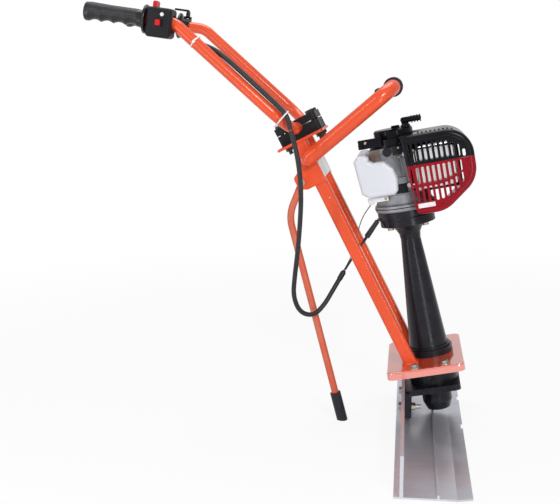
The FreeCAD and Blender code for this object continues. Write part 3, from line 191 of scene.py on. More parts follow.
def patches_group():
    """Soft patches of a second colour, for dust, smudges and uneven paint."""
    group, given, out = node_group(
        "Colour patches",
        [("Colour", "NodeSocketColor", (0.5, 0.5, 0.5, 1)), ("Patch", "NodeSocketColor", (1, 1, 1, 1)),
         ("Scale", "NodeSocketFloat", 12.0), ("Cover", "NodeSocketFloat", 0.5),
         ("Strength", "NodeSocketFloat", 0.2)],
        [("Colour", "NodeSocketColor"), ("Mask", "NodeSocketFloat")])
    noise = object_noise(group, 6)
    group.links.new(given.outputs["Scale"], noise.inputs["Scale"])
    limit = add(group, "ShaderNodeMapRange", interpolation_type="SMOOTHSTEP")
    group.links.new(noise.outputs["Fac"], limit.inputs["Value"])
    for label, edge in (("From Min", 0.85), ("From Max", 1.15)):
        group.links.new(math_node(group, "SUBTRACT", edge, given.outputs["Cover"]), limit.inputs[label])
    mask = math_node(group, "MULTIPLY", limit.outputs["Result"], given.outputs["Strength"])
    mix = add(group, "ShaderNodeMix", data_type="RGBA")
    group.links.new(mask, mix.inputs["Factor"])
    group.links.new(given.outputs["Colour"], mix.inputs["A"])
    group.links.new(given.outputs["Patch"], mix.inputs["B"])
    group.links.new(mix.outputs["Result"], out.inputs["Colour"])
    group.links.new(mask, out.inputs["Mask"])
    return group


def grain_group():
    """Fine and coarse grain as a height, for castings, mouldings, rubber and orange peel."""
    group, given, out = node_group(
        "Surface grain",
        [("Fine", "NodeSocketFloat", 900.0), ("Coarse", "NodeSocketFloat", 90.0),
         ("Balance", "NodeSocketFloat", 0.5)],
        [("Height", "NodeSocketFloat")])
    mix = add(group, "ShaderNodeMix", data_type="FLOAT")
    group.links.new(given.outputs["Balance"], mix.inputs["Factor"])
    for label, socket in (("Fine", "A"), ("Coarse", "B")):
        noise = object_noise(group, 3)
        group.links.new(given.outputs[label], noise.inputs["Scale"])
        group.links.new(noise.outputs["Fac"], mix.inputs[socket])
    group.links.new(mix.outputs["Result"], out.inputs["Height"])
    return group


def streaks_group():
    """Long thin streaks along one axis, for drawn and extruded metal."""
    group, given, out = node_group(
        "Drawn streaks",
        [("Stretch", "NodeSocketVector", (900.0, 4.0, 900.0))],
        [("Value", "NodeSocketFloat")])
    where = add(group, "ShaderNodeTexCoord")
    scaled = add(group, "ShaderNodeVectorMath", operation="MULTIPLY")
    group.links.new(where.outputs["Object"], scaled.inputs[0])
    group.links.new(given.outputs["Stretch"], scaled.inputs[1])
    noise = add(group, "ShaderNodeTexNoise")
    noise.inputs["Scale"].default_value = 1.0
    noise.inputs["Detail"].default_value = 4
    group.links.new(scaled.outputs[0], noise.inputs["Vector"])
    group.links.new(noise.outputs["Fac"], out.inputs["Value"])
    return group


def place_group(tree, name, maker, **values):
    """A node of a shader group that is made the first time it is asked for."""
    group = bpy.data.node_groups.get(name) or maker()
    node = add(tree, "ShaderNodeGroup", node_tree=group)
    for label, value in values.items():
        node.inputs[label].default_value = value
    return node


# ---------------------------------------------------------------- finishes
GRAIN_DEEP = 0.0004
LINES_DEEP = 0.0002
SMEAR_FROM = 0.5  # streaks brighter than this darken the alloy, by this gain
SMEAR_GAIN = 1.6


def rgba(colour, scale=1.0):
    """A socket's colour, made darker by a scale below 1."""
    return tuple(min(1.0, part * scale) for part in colour) + (1.0,)


def shader_of(material):
    """The material's Principled shader."""
    return material.node_tree.nodes["Principled BSDF"]


def bump(material, height, strength, distance):
    """Lets a height give the surface its relief."""
    tree = material.node_tree
    relief = add(tree, "ShaderNodeBump")
    relief.inputs["Strength"].default_value = strength
    relief.inputs["Distance"].default_value = distance
    tree.links.new(height, relief.inputs["Height"])
    tree.links.new(relief.outputs["Normal"], shader_of(material).inputs["Normal"])


def finish(name, colour, rough, metal=0.0, patch=0.7, patch_scale=14.0, cover=0.5, strength=0.25,
           grain=None, relief=0.1, coat=0.0, coat_rough=0.1, rough_spread=0.08, specular=0.5):
    """A Principled material with patchy colour and roughness.

    The patches have a colour of their own, or one number that darkens the finish's colour.
    The grain is given as its fine scale, its coarse scale and the share of the coarse one.
    """
    material = bpy.data.materials.new(name)
    material.use_nodes = True
    tree = material.node_tree
    shader = shader_of(material)
    shader.inputs["Metallic"].default_value = metal
    shader.inputs["Specular IOR Level"].default_value = specular
    shader.inputs["Coat Weight"].default_value = coat
    shader.inputs["Coat Roughness"].default_value = coat_rough
    second = rgba(colour, patch) if isinstance(patch, float) else rgba(patch)
    patches = place_group(tree, "Colour patches", patches_group, Colour=rgba(colour), Patch=second,
                          Scale=patch_scale, Cover=cover, Strength=strength)
    tree.links.new(patches.outputs["Colour"], shader.inputs["Base Color"])
    spread = math_node(tree, "MULTIPLY", patches.outputs["Mask"], rough_spread / strength)
    tree.links.new(math_node(tree, "ADD", spread, rough), shader.inputs["Roughness"])
    if grain:
        fine, coarse, balance = grain
        height = place_group(tree, "Surface grain", grain_group, Fine=fine, Coarse=coarse,
                             Balance=balance)
        bump(material, height.outputs["Height"], relief, GRAIN_DEEP)
    return material


def extruded_alloy():
    """Alloy with fine lines along the blade and darker smears across it."""
    alloy = finish("extruded_alloy", (0.70, 0.71, 0.76), 0.3, metal=0.75, patch=(0.38, 0.40, 0.46),
                   patch_scale=9, cover=0.45, strength=0.45, rough_spread=0.14)
    tree = alloy.node_tree
    lines = place_group(tree, "Drawn streaks", streaks_group)
    bump(alloy, lines.outputs["Value"], 0.14, LINES_DEEP)
    smears = place_group(tree, "Drawn streaks", streaks_group, Stretch=(9.0, 150.0, 9.0))
    above = math_node(tree, "SUBTRACT", smears.outputs["Value"], SMEAR_FROM)
    mask = add(tree, "ShaderNodeMath", operation="MULTIPLY", use_clamp=True)
    mask.inputs[1].default_value = SMEAR_GAIN
    tree.links.new(above, mask.inputs[0])
    darker = add(tree, "ShaderNodeMix", data_type="RGBA", blend_type="MULTIPLY")
    darker.inputs["B"].default_value = (0.76, 0.77, 0.79, 1)
    colour = shader_of(alloy).inputs["Base Color"]
    tree.links.new(mask.outputs[0], darker.inputs["Factor"])
    tree.links.new(colour.links[0].from_socket, darker.inputs["A"])
    tree.links.new(darker.outputs["Result"], colour)


def metals(colours):
    """Castings, plated and drawn metal, and a dark brown steel that paints shade."""
    finish("cast_black", colours.casting, 0.24, patch=(0.024, 0.024, 0.03), patch_scale=30,
           grain=(700, 160, 0.5), relief=0.08, specular=0.24)
    finish("black_screw", (0.03, 0.03, 0.034), 0.32, metal=0.6, patch=(0.12, 0.12, 0.12),
           patch_scale=70, strength=0.3, grain=(900, 300, 0.5), relief=0.08)
    finish("cast_grey", (0.34, 0.345, 0.37), 0.46, metal=0.75, patch=(0.12, 0.12, 0.13),
           patch_scale=26, strength=0.45, grain=(620, 200, 0.4), relief=0.35)
    finish("zinc_plated", (0.42, 0.42, 0.40), 0.3, metal=1.0, patch=(0.52, 0.42, 0.22),
           patch_scale=60, strength=0.4, grain=(900, 300, 0.5), relief=0.08)
    finish("bare_steel", (0.30, 0.30, 0.31), 0.38, metal=1.0, patch=(0.16, 0.14, 0.12),
           patch_scale=45, strength=0.3, grain=(800, 200, 0.5))
    finish("bright_steel", (0.86, 0.86, 0.88), 0.2, metal=1.0, patch=(0.6, 0.52, 0.42),
           patch_scale=20, strength=0.3, grain=(500, 100, 0.5), relief=0.08)
    # Dark brown steel whose colour paints the shade behind the tank's neck, not a heat-stained metal.
    finish("heated_steel", (0.11, 0.075, 0.055), 0.42, metal=0.5, patch=(0.30, 0.26, 0.24),
           patch_scale=50, strength=0.4, grain=(700, 200, 0.5), relief=0.15)
    extruded_alloy()


def enamels(colours):
    """Gloss paint on tubes and plates."""
    finish("orange_gloss", colours.paint, 0.26, patch_scale=7, grain=(120, 30, 0.6), relief=0.015,
           coat=0.35, specular=0.35)
    plate = finish("orange_plate", colours.paint, 0.16, patch=0.8, patch_scale=6, strength=0.2,
                   grain=(120, 30, 0.6), relief=0.01, coat=1.0, coat_rough=0.04)
    shader_of(plate).inputs["Coat IOR"].default_value = 2.6
    shader_of(plate).inputs["IOR"].default_value = 2.2
    finish("orange_faded", colours.faded, 0.36, patch=(0.62, 0.22, 0.13), patch_scale=18,
           strength=0.3, grain=(300, 80, 0.5), coat=0.1, coat_rough=0.2, specular=0.4)


def plastics(colours):
    """Mouldings, rubber and cable sheath."""
    finish("moulded_black", (0.012, 0.012, 0.015), 0.42, patch=(0.035, 0.035, 0.04),
           patch_scale=40, strength=0.15, grain=(1400, 300, 0.3), relief=0.15, specular=0.16)
    finish("gloss_black", (0.005, 0.005, 0.008), 0.16, patch=(0.014, 0.014, 0.018), patch_scale=18,
           strength=0.3, grain=(500, 40, 0.7), relief=0.02, specular=0.12)
    finish("gloss_red", colours.cowl, 0.16, patch=0.5, patch_scale=10, strength=0.35,
           grain=(500, 40, 0.7), relief=0.02, specular=0.16)
    finish("control_red", (0.60, 0.008, 0.014), 0.28, strength=0.15, grain=(1200, 200, 0.5),
           relief=0.06, specular=0.35)
    finish("pale_button", (0.75, 0.75, 0.74), 0.35, strength=0.1, grain=(1200, 200, 0.5), relief=0.05)
    finish("tie_nylon", (0.80, 0.80, 0.78), 0.38, patch=(0.62, 0.60, 0.55), patch_scale=60,
           grain=(1500, 300, 0.5), relief=0.08)
    finish("blank_label", (0.80, 0.74, 0.76), 0.22, patch=(0.62, 0.50, 0.54), patch_scale=40,
           strength=0.3, grain=(900, 120, 0.5), relief=0.04, coat=0.5)
    finish("lead_grey", (0.10, 0.085, 0.085), 0.4, patch=(0.2, 0.16, 0.16), patch_scale=60,
           strength=0.3, grain=(1500, 200, 0.4))
    finish("plain_rubber", (0.009, 0.009, 0.013), 0.4, patch=(0.045, 0.043, 0.048),
           patch_scale=34, strength=0.2, grain=(1000, 240, 0.4), relief=0.2, specular=0.3)
    finish("grip_rubber", (0.006, 0.006, 0.009), 0.26, patch=(0.02, 0.02, 0.024), patch_scale=34,
           strength=0.2, grain=(1200, 300, 0.5), relief=0.05, specular=0.45)
    finish("cable_black", (0.015, 0.015, 0.019), 0.4, patch=(0.045, 0.045, 0.05), patch_scale=50,
           grain=(1500, 200, 0.4), relief=0.12, specular=0.35)
    tank = finish("clear_tank", colours.tank, 0.3, patch=0.86, patch_scale=8, strength=0.4,
                  grain=(700, 90, 0.6), relief=0.08)
    shader_of(tank).inputs["Subsurface Weight"].default_value = 0.35
    shader_of(tank).inputs["Subsurface Radius"].default_value = (0.02, 0.02, 0.02)


class SCREED_OT_finishes(bpy.types.Operator):
    """Makes every paint, metal, rubber and plastic and puts it on the frame's pieces."""
    bl_idname = "screed.finishes"
    bl_label = "Finishes"

    def execute(self, context):
        colours = context.scene.screed_colours
        metals(colours)
        enamels(colours)
        plastics(colours)
        for name, nodes in FINISH_OF.items():
            for node in nodes:
                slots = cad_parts[node].data.materials
                slots.clear()
                slots.append(bpy.data.materials[name])
        return {"FINISHED"}


# ---------------------------------------------------------------- making pieces
MERGE = 0.000005  # points nearer than this are one point


def settle(piece, name, material, body, angle=35):
    """Names and dresses a new piece, brings its place into its mesh and lets it ride."""
    piece.name = name
    piece.data.name = name
    bpy.ops.object.select_all(action="DESELECT")
    piece.select_set(True)
    bpy.context.view_layer.objects.active = piece
    bpy.ops.object.convert(target="MESH")
    bpy.ops.object.transform_apply(location=True, rotation=True, scale=True)
    bpy.ops.object.shade_smooth_by_angle(angle=math.radians(angle))
    piece.data.materials.clear()
    piece.data.materials.append(bpy.data.materials[material])
    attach(piece, body)


def join(pieces):
    """One object from several."""
    bpy.ops.object.select_all(action="DESELECT")
    for piece in pieces:
        piece.select_set(True)
    bpy.context.view_layer.objects.active = pieces[0]
    bpy.ops.object.join()
    return pieces[0]


def close_up(piece):
    """Merges the doubled points of a shape's seam and poles and turns its faces outwards."""
    bpy.ops.object.mode_set(mode="EDIT")
    bpy.ops.mesh.select_all(action="SELECT")
    bpy.ops.mesh.remove_doubles(threshold=MERGE)
    bpy.ops.mesh.normals_make_consistent(inside=False)
    bpy.ops.object.mode_set(mode="OBJECT")
    return piece


def new_cylinder(matrix, radius, depth, vertices=48, **more):
    """A cylinder about the matrix's Z, half its depth to either side."""
    bpy.ops.object.select_all(action="DESELECT")
    bpy.ops.mesh.primitive_cylinder_add(vertices=vertices, radius=radius, depth=depth, **more)
    piece = bpy.context.object
    piece.matrix_world = matrix
    return piece


def new_block(matrix, size):
    """A block round the matrix's place."""
    bpy.ops.object.select_all(action="DESELECT")
    bpy.ops.mesh.primitive_cube_add(size=1)
    piece = bpy.context.object
    piece.matrix_world = matrix @ Matrix.Diagonal((*size, 1))
    return piece


def turned(matrix, profile, steps):
    """A ring spun about the matrix's Z from a closed profile of (height, radius) points."""
    bpy.ops.object.select_all(action="DESELECT")
    bpy.ops.mesh.primitive_circle_add(vertices=len(profile))
    piece = bpy.context.object
    for vertex, (height, radius) in zip(piece.data.vertices, profile):
        vertex.co = (radius, 0, height)
    bpy.ops.object.mode_set(mode="EDIT")
    bpy.ops.mesh.select_all(action="SELECT")
    bpy.ops.mesh.spin(steps=steps, angle=2 * math.pi, center=(0, 0, 0), axis=(0, 0, 1))
    bpy.ops.object.mode_set(mode="OBJECT")
    piece.matrix_world = matrix
    return close_up(piece)


def round_ring(matrix, radius, half):
    """A ring about the matrix's Z, whose round section has half as its own radius."""
    turns = [math.radians(degrees) for degrees in range(0, 360, 30)]
    profile = [(half * math.sin(turn), radius + half * math.cos(turn)) for turn in turns]
    return turned(matrix, profile, 96)


def round_curve(name, route, kind, radius, roundness):
    """A rod of round section along the points of a route, as (object, spline)."""
    data = bpy.data.curves.new(name, "CURVE")
    data.dimensions = "3D"
    data.bevel_depth = radius
    data.bevel_resolution = roundness
    data.use_fill_caps = True
    spline = data.splines.new(kind)
    spline.points.add(len(route) - 1)
    for point, place in zip(spline.points, route):
        point.co = (*place, 1)
    piece = bpy.data.objects.new(name, data)
    bpy.context.collection.objects.link(piece)
    return piece, spline


def soften(piece, width, segments=3):
    """Rounds a piece's sharp edges."""
    bevel = piece.modifiers.new("soft", "BEVEL")
    bevel.width = width
    bevel.segments = segments
    bevel.limit_method = "ANGLE"


# ---------------------------------------------------------------- grips
# The bar's ends, as the left one's place, and how far the hand grips rise towards the operator.
HAND_END = (-0.65366, 0.140, 0.79667)
HAND_RISE = 8

# The grip runs from just behind the bar's end to its flange: (distance along the bar, radius).
GRIP_CAP = [(-0.0035, 0.0), (-0.0035, 0.004), (-0.0035, 0.010), (-0.0033, 0.0135), (-0.0025, 0.0155),
            (-0.001, 0.0167)]
GRIP_FLANGE = [(0.1074, 0.0178), (0.1083, 0.0195), (0.1088, 0.0228), (0.1092, 0.0252),
               (0.1100, 0.0261), (0.1130, 0.0261), (0.1140, 0.0252), (0.1142, 0.0220),
               (0.1142, 0.0112)]
SLEEVE_FROM = 0.0005
SLEEVE_LONG = 0.1055
SLEEVE_ROUND = 0.0157
HEEL_ROUND = 0.0172  # the sleeve's radius at the heel of the hand, which tapers to the plain one
HEEL_TAPER = 0.03
MOULDED_FROM = 0.004  # the diamonds and finger hollows fade in from here
MOULDED_TO = 0.100
MOULDED_FADE = 0.004
DIAMOND_TURNS = 12
DIAMOND_SHARP = 0.7
FINGER_FROM = 0.006
UNDER_EDGE = 0.25  # cosine of the turn at which the top's diamonds give way to the finger hollows
UNDER_SHARP = 3


def hand_frame(side):
    """A frame at the bar's end on one side, whose X runs along the bar towards the clamp."""
    end = Vector((HAND_END[0], side * HAND_END[1], HAND_END[2]))
    return Matrix.Translation(end) @ Matrix.Rotation(math.radians(HAND_RISE), 4, "Y")


def sleeve_radius(along, turn, sizes):
    """The sleeve's surface: thicker at the hand's heel, diamonds on top and finger hollows below."""
    plain = max(SLEEVE_ROUND, HEEL_ROUND - HEEL_TAPER * along)
    top = 0.5 + 0.5 * math.tanh(UNDER_SHARP * (UNDER_EDGE - math.cos(turn)))
    fade = min(1, max(0, (along - MOULDED_FROM) / MOULDED_FADE),
               max(0, (MOULDED_TO - along) / MOULDED_FADE))
    waves = [abs(math.sin(math.pi * along / sizes.diamond + side * DIAMOND_TURNS * turn))
             for side in (1, -1)]
    diamonds = sizes.relief * (waves[0] * waves[1]) ** DIAMOND_SHARP * top * fade
    fingers = sizes.hollow * abs(math.sin(math.pi * (along - FINGER_FROM) / sizes.finger)) * (1 - top)
    return plain + diamonds - fingers * fade


def grip_skin(sizes, rings=150, around=144):
    """The grip's skin about Z, from the closed cap to the flange, warped from a flat grid."""
    sleeve = [(SLEEVE_FROM + SLEEVE_LONG * at / rings, None) for at in range(rings + 1)]
    stations = GRIP_CAP + sleeve + GRIP_FLANGE
    rows = len(stations) - 1
    bpy.ops.object.select_all(action="DESELECT")
    bpy.ops.mesh.primitive_grid_add(x_subdivisions=rows, y_subdivisions=around, size=1)
    piece = bpy.context.object
    for vertex in piece.data.vertices:
        along, radius = stations[round((vertex.co.x + 0.5) * rows)]
        turn = 2 * math.pi * round((vertex.co.y + 0.5) * around) / around
        if radius is None:
            radius = sleeve_radius(along, turn, sizes)
        vertex.co = (radius * math.cos(turn), radius * math.sin(turn), along)
    return close_up(piece)


class SCREED_OT_grips(bpy.types.Operator):
    """Moulds both hand grips, with raised diamonds above and finger hollows below."""
    bl_idname = "screed.grips"
    bl_label = "Hand grips"

    def execute(self, context):
        sizes = context.scene.screed_sizes
        for side, hand in ((-1, "right"), (1, "left")):
            piece = grip_skin(sizes)
            piece.matrix_world = hand_frame(side) @ Matrix.Rotation(math.radians(90), 4, "Y")
            settle(piece, "grip_rubber_" + hand, "grip_rubber", "handlebar", 50)
            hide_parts(hand + "_grip")
        return {"FINISHED"}


# ---------------------------------------------------------------- ties
# Each tie's place past the elbow, and how far the cable beside the bar lies up and to the side.
TIES = (("cable_tie_upper", 0.0507, -0.0013, 0.0173), ("cable_tie_lower", 0.263, 0.0164, -0.0095))
TIE_SLACK = 0.0005
TIE_THICK = 0.0011
TIE_WIDER = 1.06  # the band's half width beside the bar's radius
LOCK_SIZE = (0.0036, 0.0052, 0.0048)
LOCK_OUT = 0.0016
TAIL_OUT = (0.004, 0.0045)
TAIL_SIZE = (0.0010, 0.006)
TIE_EDGE = 0.0003


def tie(name, past, up, side, sizes):
    """A nylon band round the bar and the cable beside it, with its lock and cut tail."""
    towards = ARM_UP * up + Vector((0, side, 0))
    cable_round = sizes.cable / 2
    half = (BAR_ROUND + towards.length + cable_round) / 2 + TIE_SLACK
    shift = (towards.length + cable_round - BAR_ROUND) / 2
    axis = towards.normalized()
    turn = Matrix((axis, ARM_WAY.cross(axis), ARM_WAY)).transposed().to_4x4()
    place = Matrix.Translation(ELBOW + ARM_WAY * past + axis * shift) @ turn
    band = new_cylinder(place @ Matrix.Diagonal((half, BAR_ROUND * TIE_WIDER, 1, 1)), 1,
                        sizes.tie_width, 72, end_fill_type="NOTHING")
    bpy.ops.object.transform_apply(location=True, rotation=True, scale=True)
    thick = band.modifiers.new("thick", "SOLIDIFY")
    thick.thickness = TIE_THICK
    thick.offset = 1
    bpy.ops.object.modifier_apply(modifier="thick")
    lock = new_block(place @ Matrix.Translation((-half - LOCK_OUT, 0, 0)), LOCK_SIZE)
    tail = new_block(place @ Matrix.Translation((-half - TAIL_OUT[0], TAIL_OUT[1], 0)),
                     (*TAIL_SIZE, sizes.tie_width))
    band = join([band, lock, tail])
    soften(band, TIE_EDGE, 2)
    settle(band, name, "tie_nylon", "handlebar")


class SCREED_OT_ties(bpy.types.Operator):
    """Ties the cable to the near arm of the bar in two places."""
    bl_idname = "screed.ties"
    bl_label = "Cable ties"

    def execute(self, context):
        for name, past, up, side in TIES:
            tie(name, past, up, side, context.scene.screed_sizes)
        return {"FINISHED"}


# ---------------------------------------------------------------- welds
DROP_PITCH = 0.85  # distance between a bead's drops beside their radius
LIFT_END = FORK @ Vector((0.002, 0, 0.450))  # where the lift handle's tube starts beside the leg
LIFT_TOP = STACK @ Vector((0.0152, 0, 0.6663))
LIFT_ROUND = 0.0095
LIFT_AWAY = 0.0740  # from the machine's middle to the bead between the leg and the tube
LIFT_RUN = 0.026  # length of the bead along either side of the tube


def stepped(corners, step):
    """Points at even steps along straight runs between corners."""
    spots = []
    for start, end in zip(corners, corners[1:]):
        count = max(1, round((end - start).length / step))
        spots += [start.lerp(end, at / count) for at in range(count)]
    return spots + [corners[-1]]


def weld(name, corners, size):
    """A bead of overlapping drops along a route."""
    drops = []
    for spot in stepped(corners, size * DROP_PITCH):
        bpy.ops.object.select_all(action="DESELECT")
        bpy.ops.mesh.primitive_uv_sphere_add(segments=12, ring_count=8, radius=size, location=spot)
        drops.append(bpy.context.object)
    settle(join(drops), name, "orange_gloss", "frame", 60)


def leg_ring(side, level):
    """Corners of a fork leg where a level of the stack's frame cuts it."""
    corners = []
    for u, v in ((-1, -1), (1, -1), (1, 1), (-1, 1), (-1, -1)):
        low, high = (FORK @ Vector((u * LEG_HALF, side * LEG_AWAY + v * LEG_HALF, w)) for w in (0, 1))
        a = (TO_STACK @ low).z
        b = (TO_STACK @ high).z
        corners.append(low.lerp(high, (level - a) / (b - a)))
    return corners


def lift_arc(side):
    """Half round the lift handle's lower end and a little way up either side of its tube."""
    way = (LIFT_TOP - LIFT_END).normalized()
    up = Vector((-way.z, 0, way.x))
    middle = LIFT_END + Vector((0, side * LIFT_AWAY, 0))
    turns = [math.pi * at / 10 for at in range(11)]
    arc = [middle + (up * math.cos(turn) - way * math.sin(turn)) * LIFT_ROUND for turn in turns]
    return [arc[0] + way * LIFT_RUN] + arc + [arc[-1] + way * LIFT_RUN]


class SCREED_OT_welds(bpy.types.Operator):
    """Runs the weld beads at the fork's feet and round the lift handle's ends."""
    bl_idname = "screed.welds"
    bl_label = "Weld beads"

    def execute(self, context):
        size = context.scene.screed_sizes.bead
        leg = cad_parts["fork_leg_right"]
        level = min((TO_STACK @ leg.matrix_world @ vertex.co).z for vertex in leg.data.vertices)
        for side, hand in ((-1, "right"), (1, "left")):
            weld("weld_foot_" + hand, leg_ring(side, level), size)
            weld("weld_lift_" + hand, lift_arc(side), size)
        return {"FINISHED"}


# ---------------------------------------------------------------- fittings
# Blocks on the engine: name, middle in the stack's frame, size, edge radius, finish and slot.
FITTINGS = (
    ("blank_label", (0.0425, -0.0890, 0.4400), (0.032, 0.0022, 0.0085), 0.0003,
     "blank_label", "pale_plastic"),
    ("starter_arm", (-0.046, -0.0430, 0.5690), (0.044, 0.0150, 0.0170), 0.0028,
     "gloss_black", "black_plastic"),
    ("intake_boot", (0.004, -0.0520, 0.5485), (0.019, 0.0160, 0.0165), 0.0035,
     "moulded_black", "black_plastic"),
    ("ignition_pad", (0.003, -0.0490, 0.4895), (0.018, 0.0070, 0.0120), 0.0012,
     "bare_steel", "steel"),
    ("ignition_cover", (0.001, -0.0495, 0.4755), (0.022, 0.0080, 0.0160), 0.0015,
     "moulded_black", "black_plastic"),
    ("cable_bracket", (-0.0480, -0.0485, 0.4600), (0.040, 0.0050, 0.0085), 0.0010,
     "bright_steel", "zinc"),
    ("bracket_foot", (-0.0620, -0.0310, 0.4560), (0.010, 0.0320, 0.0080), 0.0010,
     "bright_steel", "zinc"),
    # A dark brown plate on the engine behind the tank's neck that paints the shade falling there; the
    # engine has no such plate.
    ("heat_shield", (-0.0410, -0.0470, 0.5430), (0.020, 0.0040, 0.0240), 0.0010,
     "heated_steel", "steel"),
)

# Rows of ribs along X: how many, their pitch, the first one's middle, and each one's size and edge.
BLOCK_RIBS = 3
BLOCK_RIB_PITCH = 0.006
BLOCK_RIB_FIRST = (-0.004, -0.0470, 0.5185)
BLOCK_RIB_SIZE = (0.0018, 0.0050, 0.0440)
BLOCK_RIB_EDGE = 0.0005
PULL_RIBS = 4
PULL_RIB_PITCH = 0.0055
PULL_RIB_FIRST = (0.0395, -0.016, 0.600)
PULL_RIB_SIZE = (0.0020, 0.0216, 0.0136)
PULL_RIB_EDGE = 0.0007


def rib_places(first, pitch, count):
    """Middles of a row of ribs along X."""
    return [(first[0] + pitch * at, first[1], first[2]) for at in range(count)]


def fitting(name, place, size, edge, material, slot):
    """A block with rounded edges on the engine."""
    piece = new_block(STACK @ Matrix.Translation(place), size)
    soften(piece, edge)
    settle(piece, name, material, "frame")


class SCREED_OT_fittings(bpy.types.Operator):
    """Adds the blank label, starter arm, intake boot, ignition, cable bracket, a plate of painted shade
    and ribs.
    """
    bl_idname = "screed.fittings"
    bl_label = "Engine fittings"

    def execute(self, context):
        for row in FITTINGS:
            fitting(*row)
        for at, place in enumerate(rib_places(BLOCK_RIB_FIRST, BLOCK_RIB_PITCH, BLOCK_RIBS)):
            fitting("block_rib_%d" % at, place, BLOCK_RIB_SIZE, BLOCK_RIB_EDGE, "cast_grey",
                    "grey_casting")
        return {"FINISHED"}


class SCREED_OT_pull_ribs(bpy.types.Operator):
    """Moulds the ribs across the starter's pull handle."""
    bl_idname = "screed.pull_ribs"
    bl_label = "Pull handle ribs"

    def execute(self, context):
        ribs = join([new_block(STACK @ Matrix.Translation(place), PULL_RIB_SIZE)
                     for place in rib_places(PULL_RIB_FIRST, PULL_RIB_PITCH, PULL_RIBS)])
        soften(ribs, PULL_RIB_EDGE)
        settle(ribs, "pull_ribs", "gloss_black", "starter_handle")
        return {"FINISHED"}


# ---------------------------------------------------------------- rings and screws
# Rings round the crankcase: name, height on the stack, radius, half thickness, finish and slot.
CASE_RINGS = (
    ("case_gasket", 0.4372, 0.0590, 0.0008, "moulded_black", "black_plastic"),
    ("case_step", 0.4455, 0.0541, 0.0012, "cast_grey", "grey_casting"),
    ("case_lip", 0.4642, 0.0541, 0.0018, "cast_grey", "grey_casting"),
)
WASHER_ALONG = 0.1155  # from the bar's end, past the grip's flange
WASHER_ROUND = 0.0124
WASHER_HALF = 0.0012

CAP_PLACE = (0.006, 0, 0.5902)
CAP_ROUND = 0.0085
CAP_TALL = 0.0048
CAP_EDGE = 0.002

# Domed screw heads on the near side: name, the head's middle and its radius.
SCREWS = (
    ("starter_screw", STACK @ Vector((-0.0545, -0.0508, 0.5715)), 0.0027),
    ("boot_screw", STACK @ Vector((0.0065, -0.0602, 0.5530)), 0.0021),
    ("block_screw", STACK @ Vector((0.0050, -0.0500, 0.5350)), 0.0021),
    ("bracket_screw", STACK @ Vector((-0.0330, -0.0510, 0.4600)), 0.0030),
    ("leg_rivet", FORK @ Vector((0.003, -0.0703, 0.365)), 0.0019),
)
# Shares of a head's radius: its rounded edge, its socket's radius and depth.
HEAD_EDGE = 0.3
SOCKET_ROUND = 0.5
SOCKET_DEEP = 0.6


class SCREED_OT_rings(bpy.types.Operator):
    """Adds the crankcase's gasket, step and lip, the right grip's red washer and the starter's cap."""
    bl_idname = "screed.rings"
    bl_label = "Rings and starter cap"

    def execute(self, context):
        for name, height, radius, half, material, slot in CASE_RINGS:
            ring = round_ring(STACK @ Matrix.Translation((0, 0, height)), radius, half)
            settle(ring, name, material, "frame", 80)
        place = hand_frame(-1) @ Matrix.Translation((WASHER_ALONG, 0, 0))
        washer = round_ring(place @ Matrix.Rotation(math.radians(90), 4, "Y"), WASHER_ROUND, WASHER_HALF)
        settle(washer, "red_washer", "control_red", "handlebar", 80)
        cap = new_cylinder(STACK @ Matrix.Translation(CAP_PLACE), CAP_ROUND, CAP_TALL)
        soften(cap, CAP_EDGE)
        settle(cap, "starter_cap", "gloss_black", "frame")
        return {"FINISHED"}


class SCREED_OT_screws(bpy.types.Operator):
    """Drives the domed screws with hexagonal sockets on the near side."""
    bl_idname = "screed.screws"
    bl_label = "Screws"

    def execute(self, context):
        outwards = Vector((0, -1, 0)).to_track_quat("Z", "Y").to_matrix().to_4x4()
        for name, place, radius in SCREWS:
            matrix = Matrix.Translation(place) @ outwards
            head = new_cylinder(matrix, radius, radius)
            soften(head, radius * HEAD_EDGE)
            top = matrix @ Matrix.Translation((0, 0, radius / 2))
            socket = new_cylinder(top, radius * SOCKET_ROUND, radius * SOCKET_DEEP, 6)
            cut = head.modifiers.new("socket", "BOOLEAN")
            cut.object = socket
            settle(head, name, "zinc_plated", "frame")
            bpy.data.objects.remove(socket)
        return {"FINISHED"}


# ---------------------------------------------------------------- lower crankcase
# Closed profiles of (height on the stack, radius).
BOWL = [(0.4370, 0.0552), (0.4370, 0.0584), (0.4364, 0.0590), (0.4345, 0.0590), (0.4328, 0.0588),
        (0.4313, 0.0582), (0.4302, 0.0573), (0.4296, 0.0562), (0.4295, 0.0552)]
COLLAR = [(0.4297, 0.0548), (0.4297, 0.0558), (0.4292, 0.0563), (0.4180, 0.0563), (0.4172, 0.0572),
          (0.4150, 0.0578), (0.4141, 0.0574), (0.4141, 0.0548)]


class SCREED_OT_crankcase(bpy.types.Operator):
    """Turns the lower crankcase as a bowl that ends in the column's black collar."""
    bl_idname = "screed.crankcase"
    bl_label = "Lower crankcase"

    def execute(self, context):
        bowl = turned(STACK, BOWL, 128)
        settle(bowl, "crankcase_bowl", "cast_grey", "frame", 40)
        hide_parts("crankcase_lower")
        settle(turned(STACK, COLLAR, 128), "bell_collar", "cast_black", "frame", 40)
        return {"FINISHED"}


# ---------------------------------------------------------------- cover rim
FACE_DEPTH = 0.001  # points this near the cover's outermost one are on its edge
RIM_STEP = 0.004


def cross_2d(a, b, c):
    """Above zero where the way from a by b to c turns left."""
    return (b[0] - a[0]) * (c[1] - a[1]) - (b[1] - a[1]) * (c[0] - a[0])


def hull_of(spots):
    """The outer corners of points on a plane, given in order, as Vectors."""
    hull = []
    for row in (spots, spots[::-1]):
        start = len(hull)
        for spot in row:
            while len(hull) > start + 1 and cross_2d(hull[-2], hull[-1], spot) <= 0:
                hull.pop()
            hull.append(spot)
        hull.pop()
    return [Vector(spot) for spot in hull]


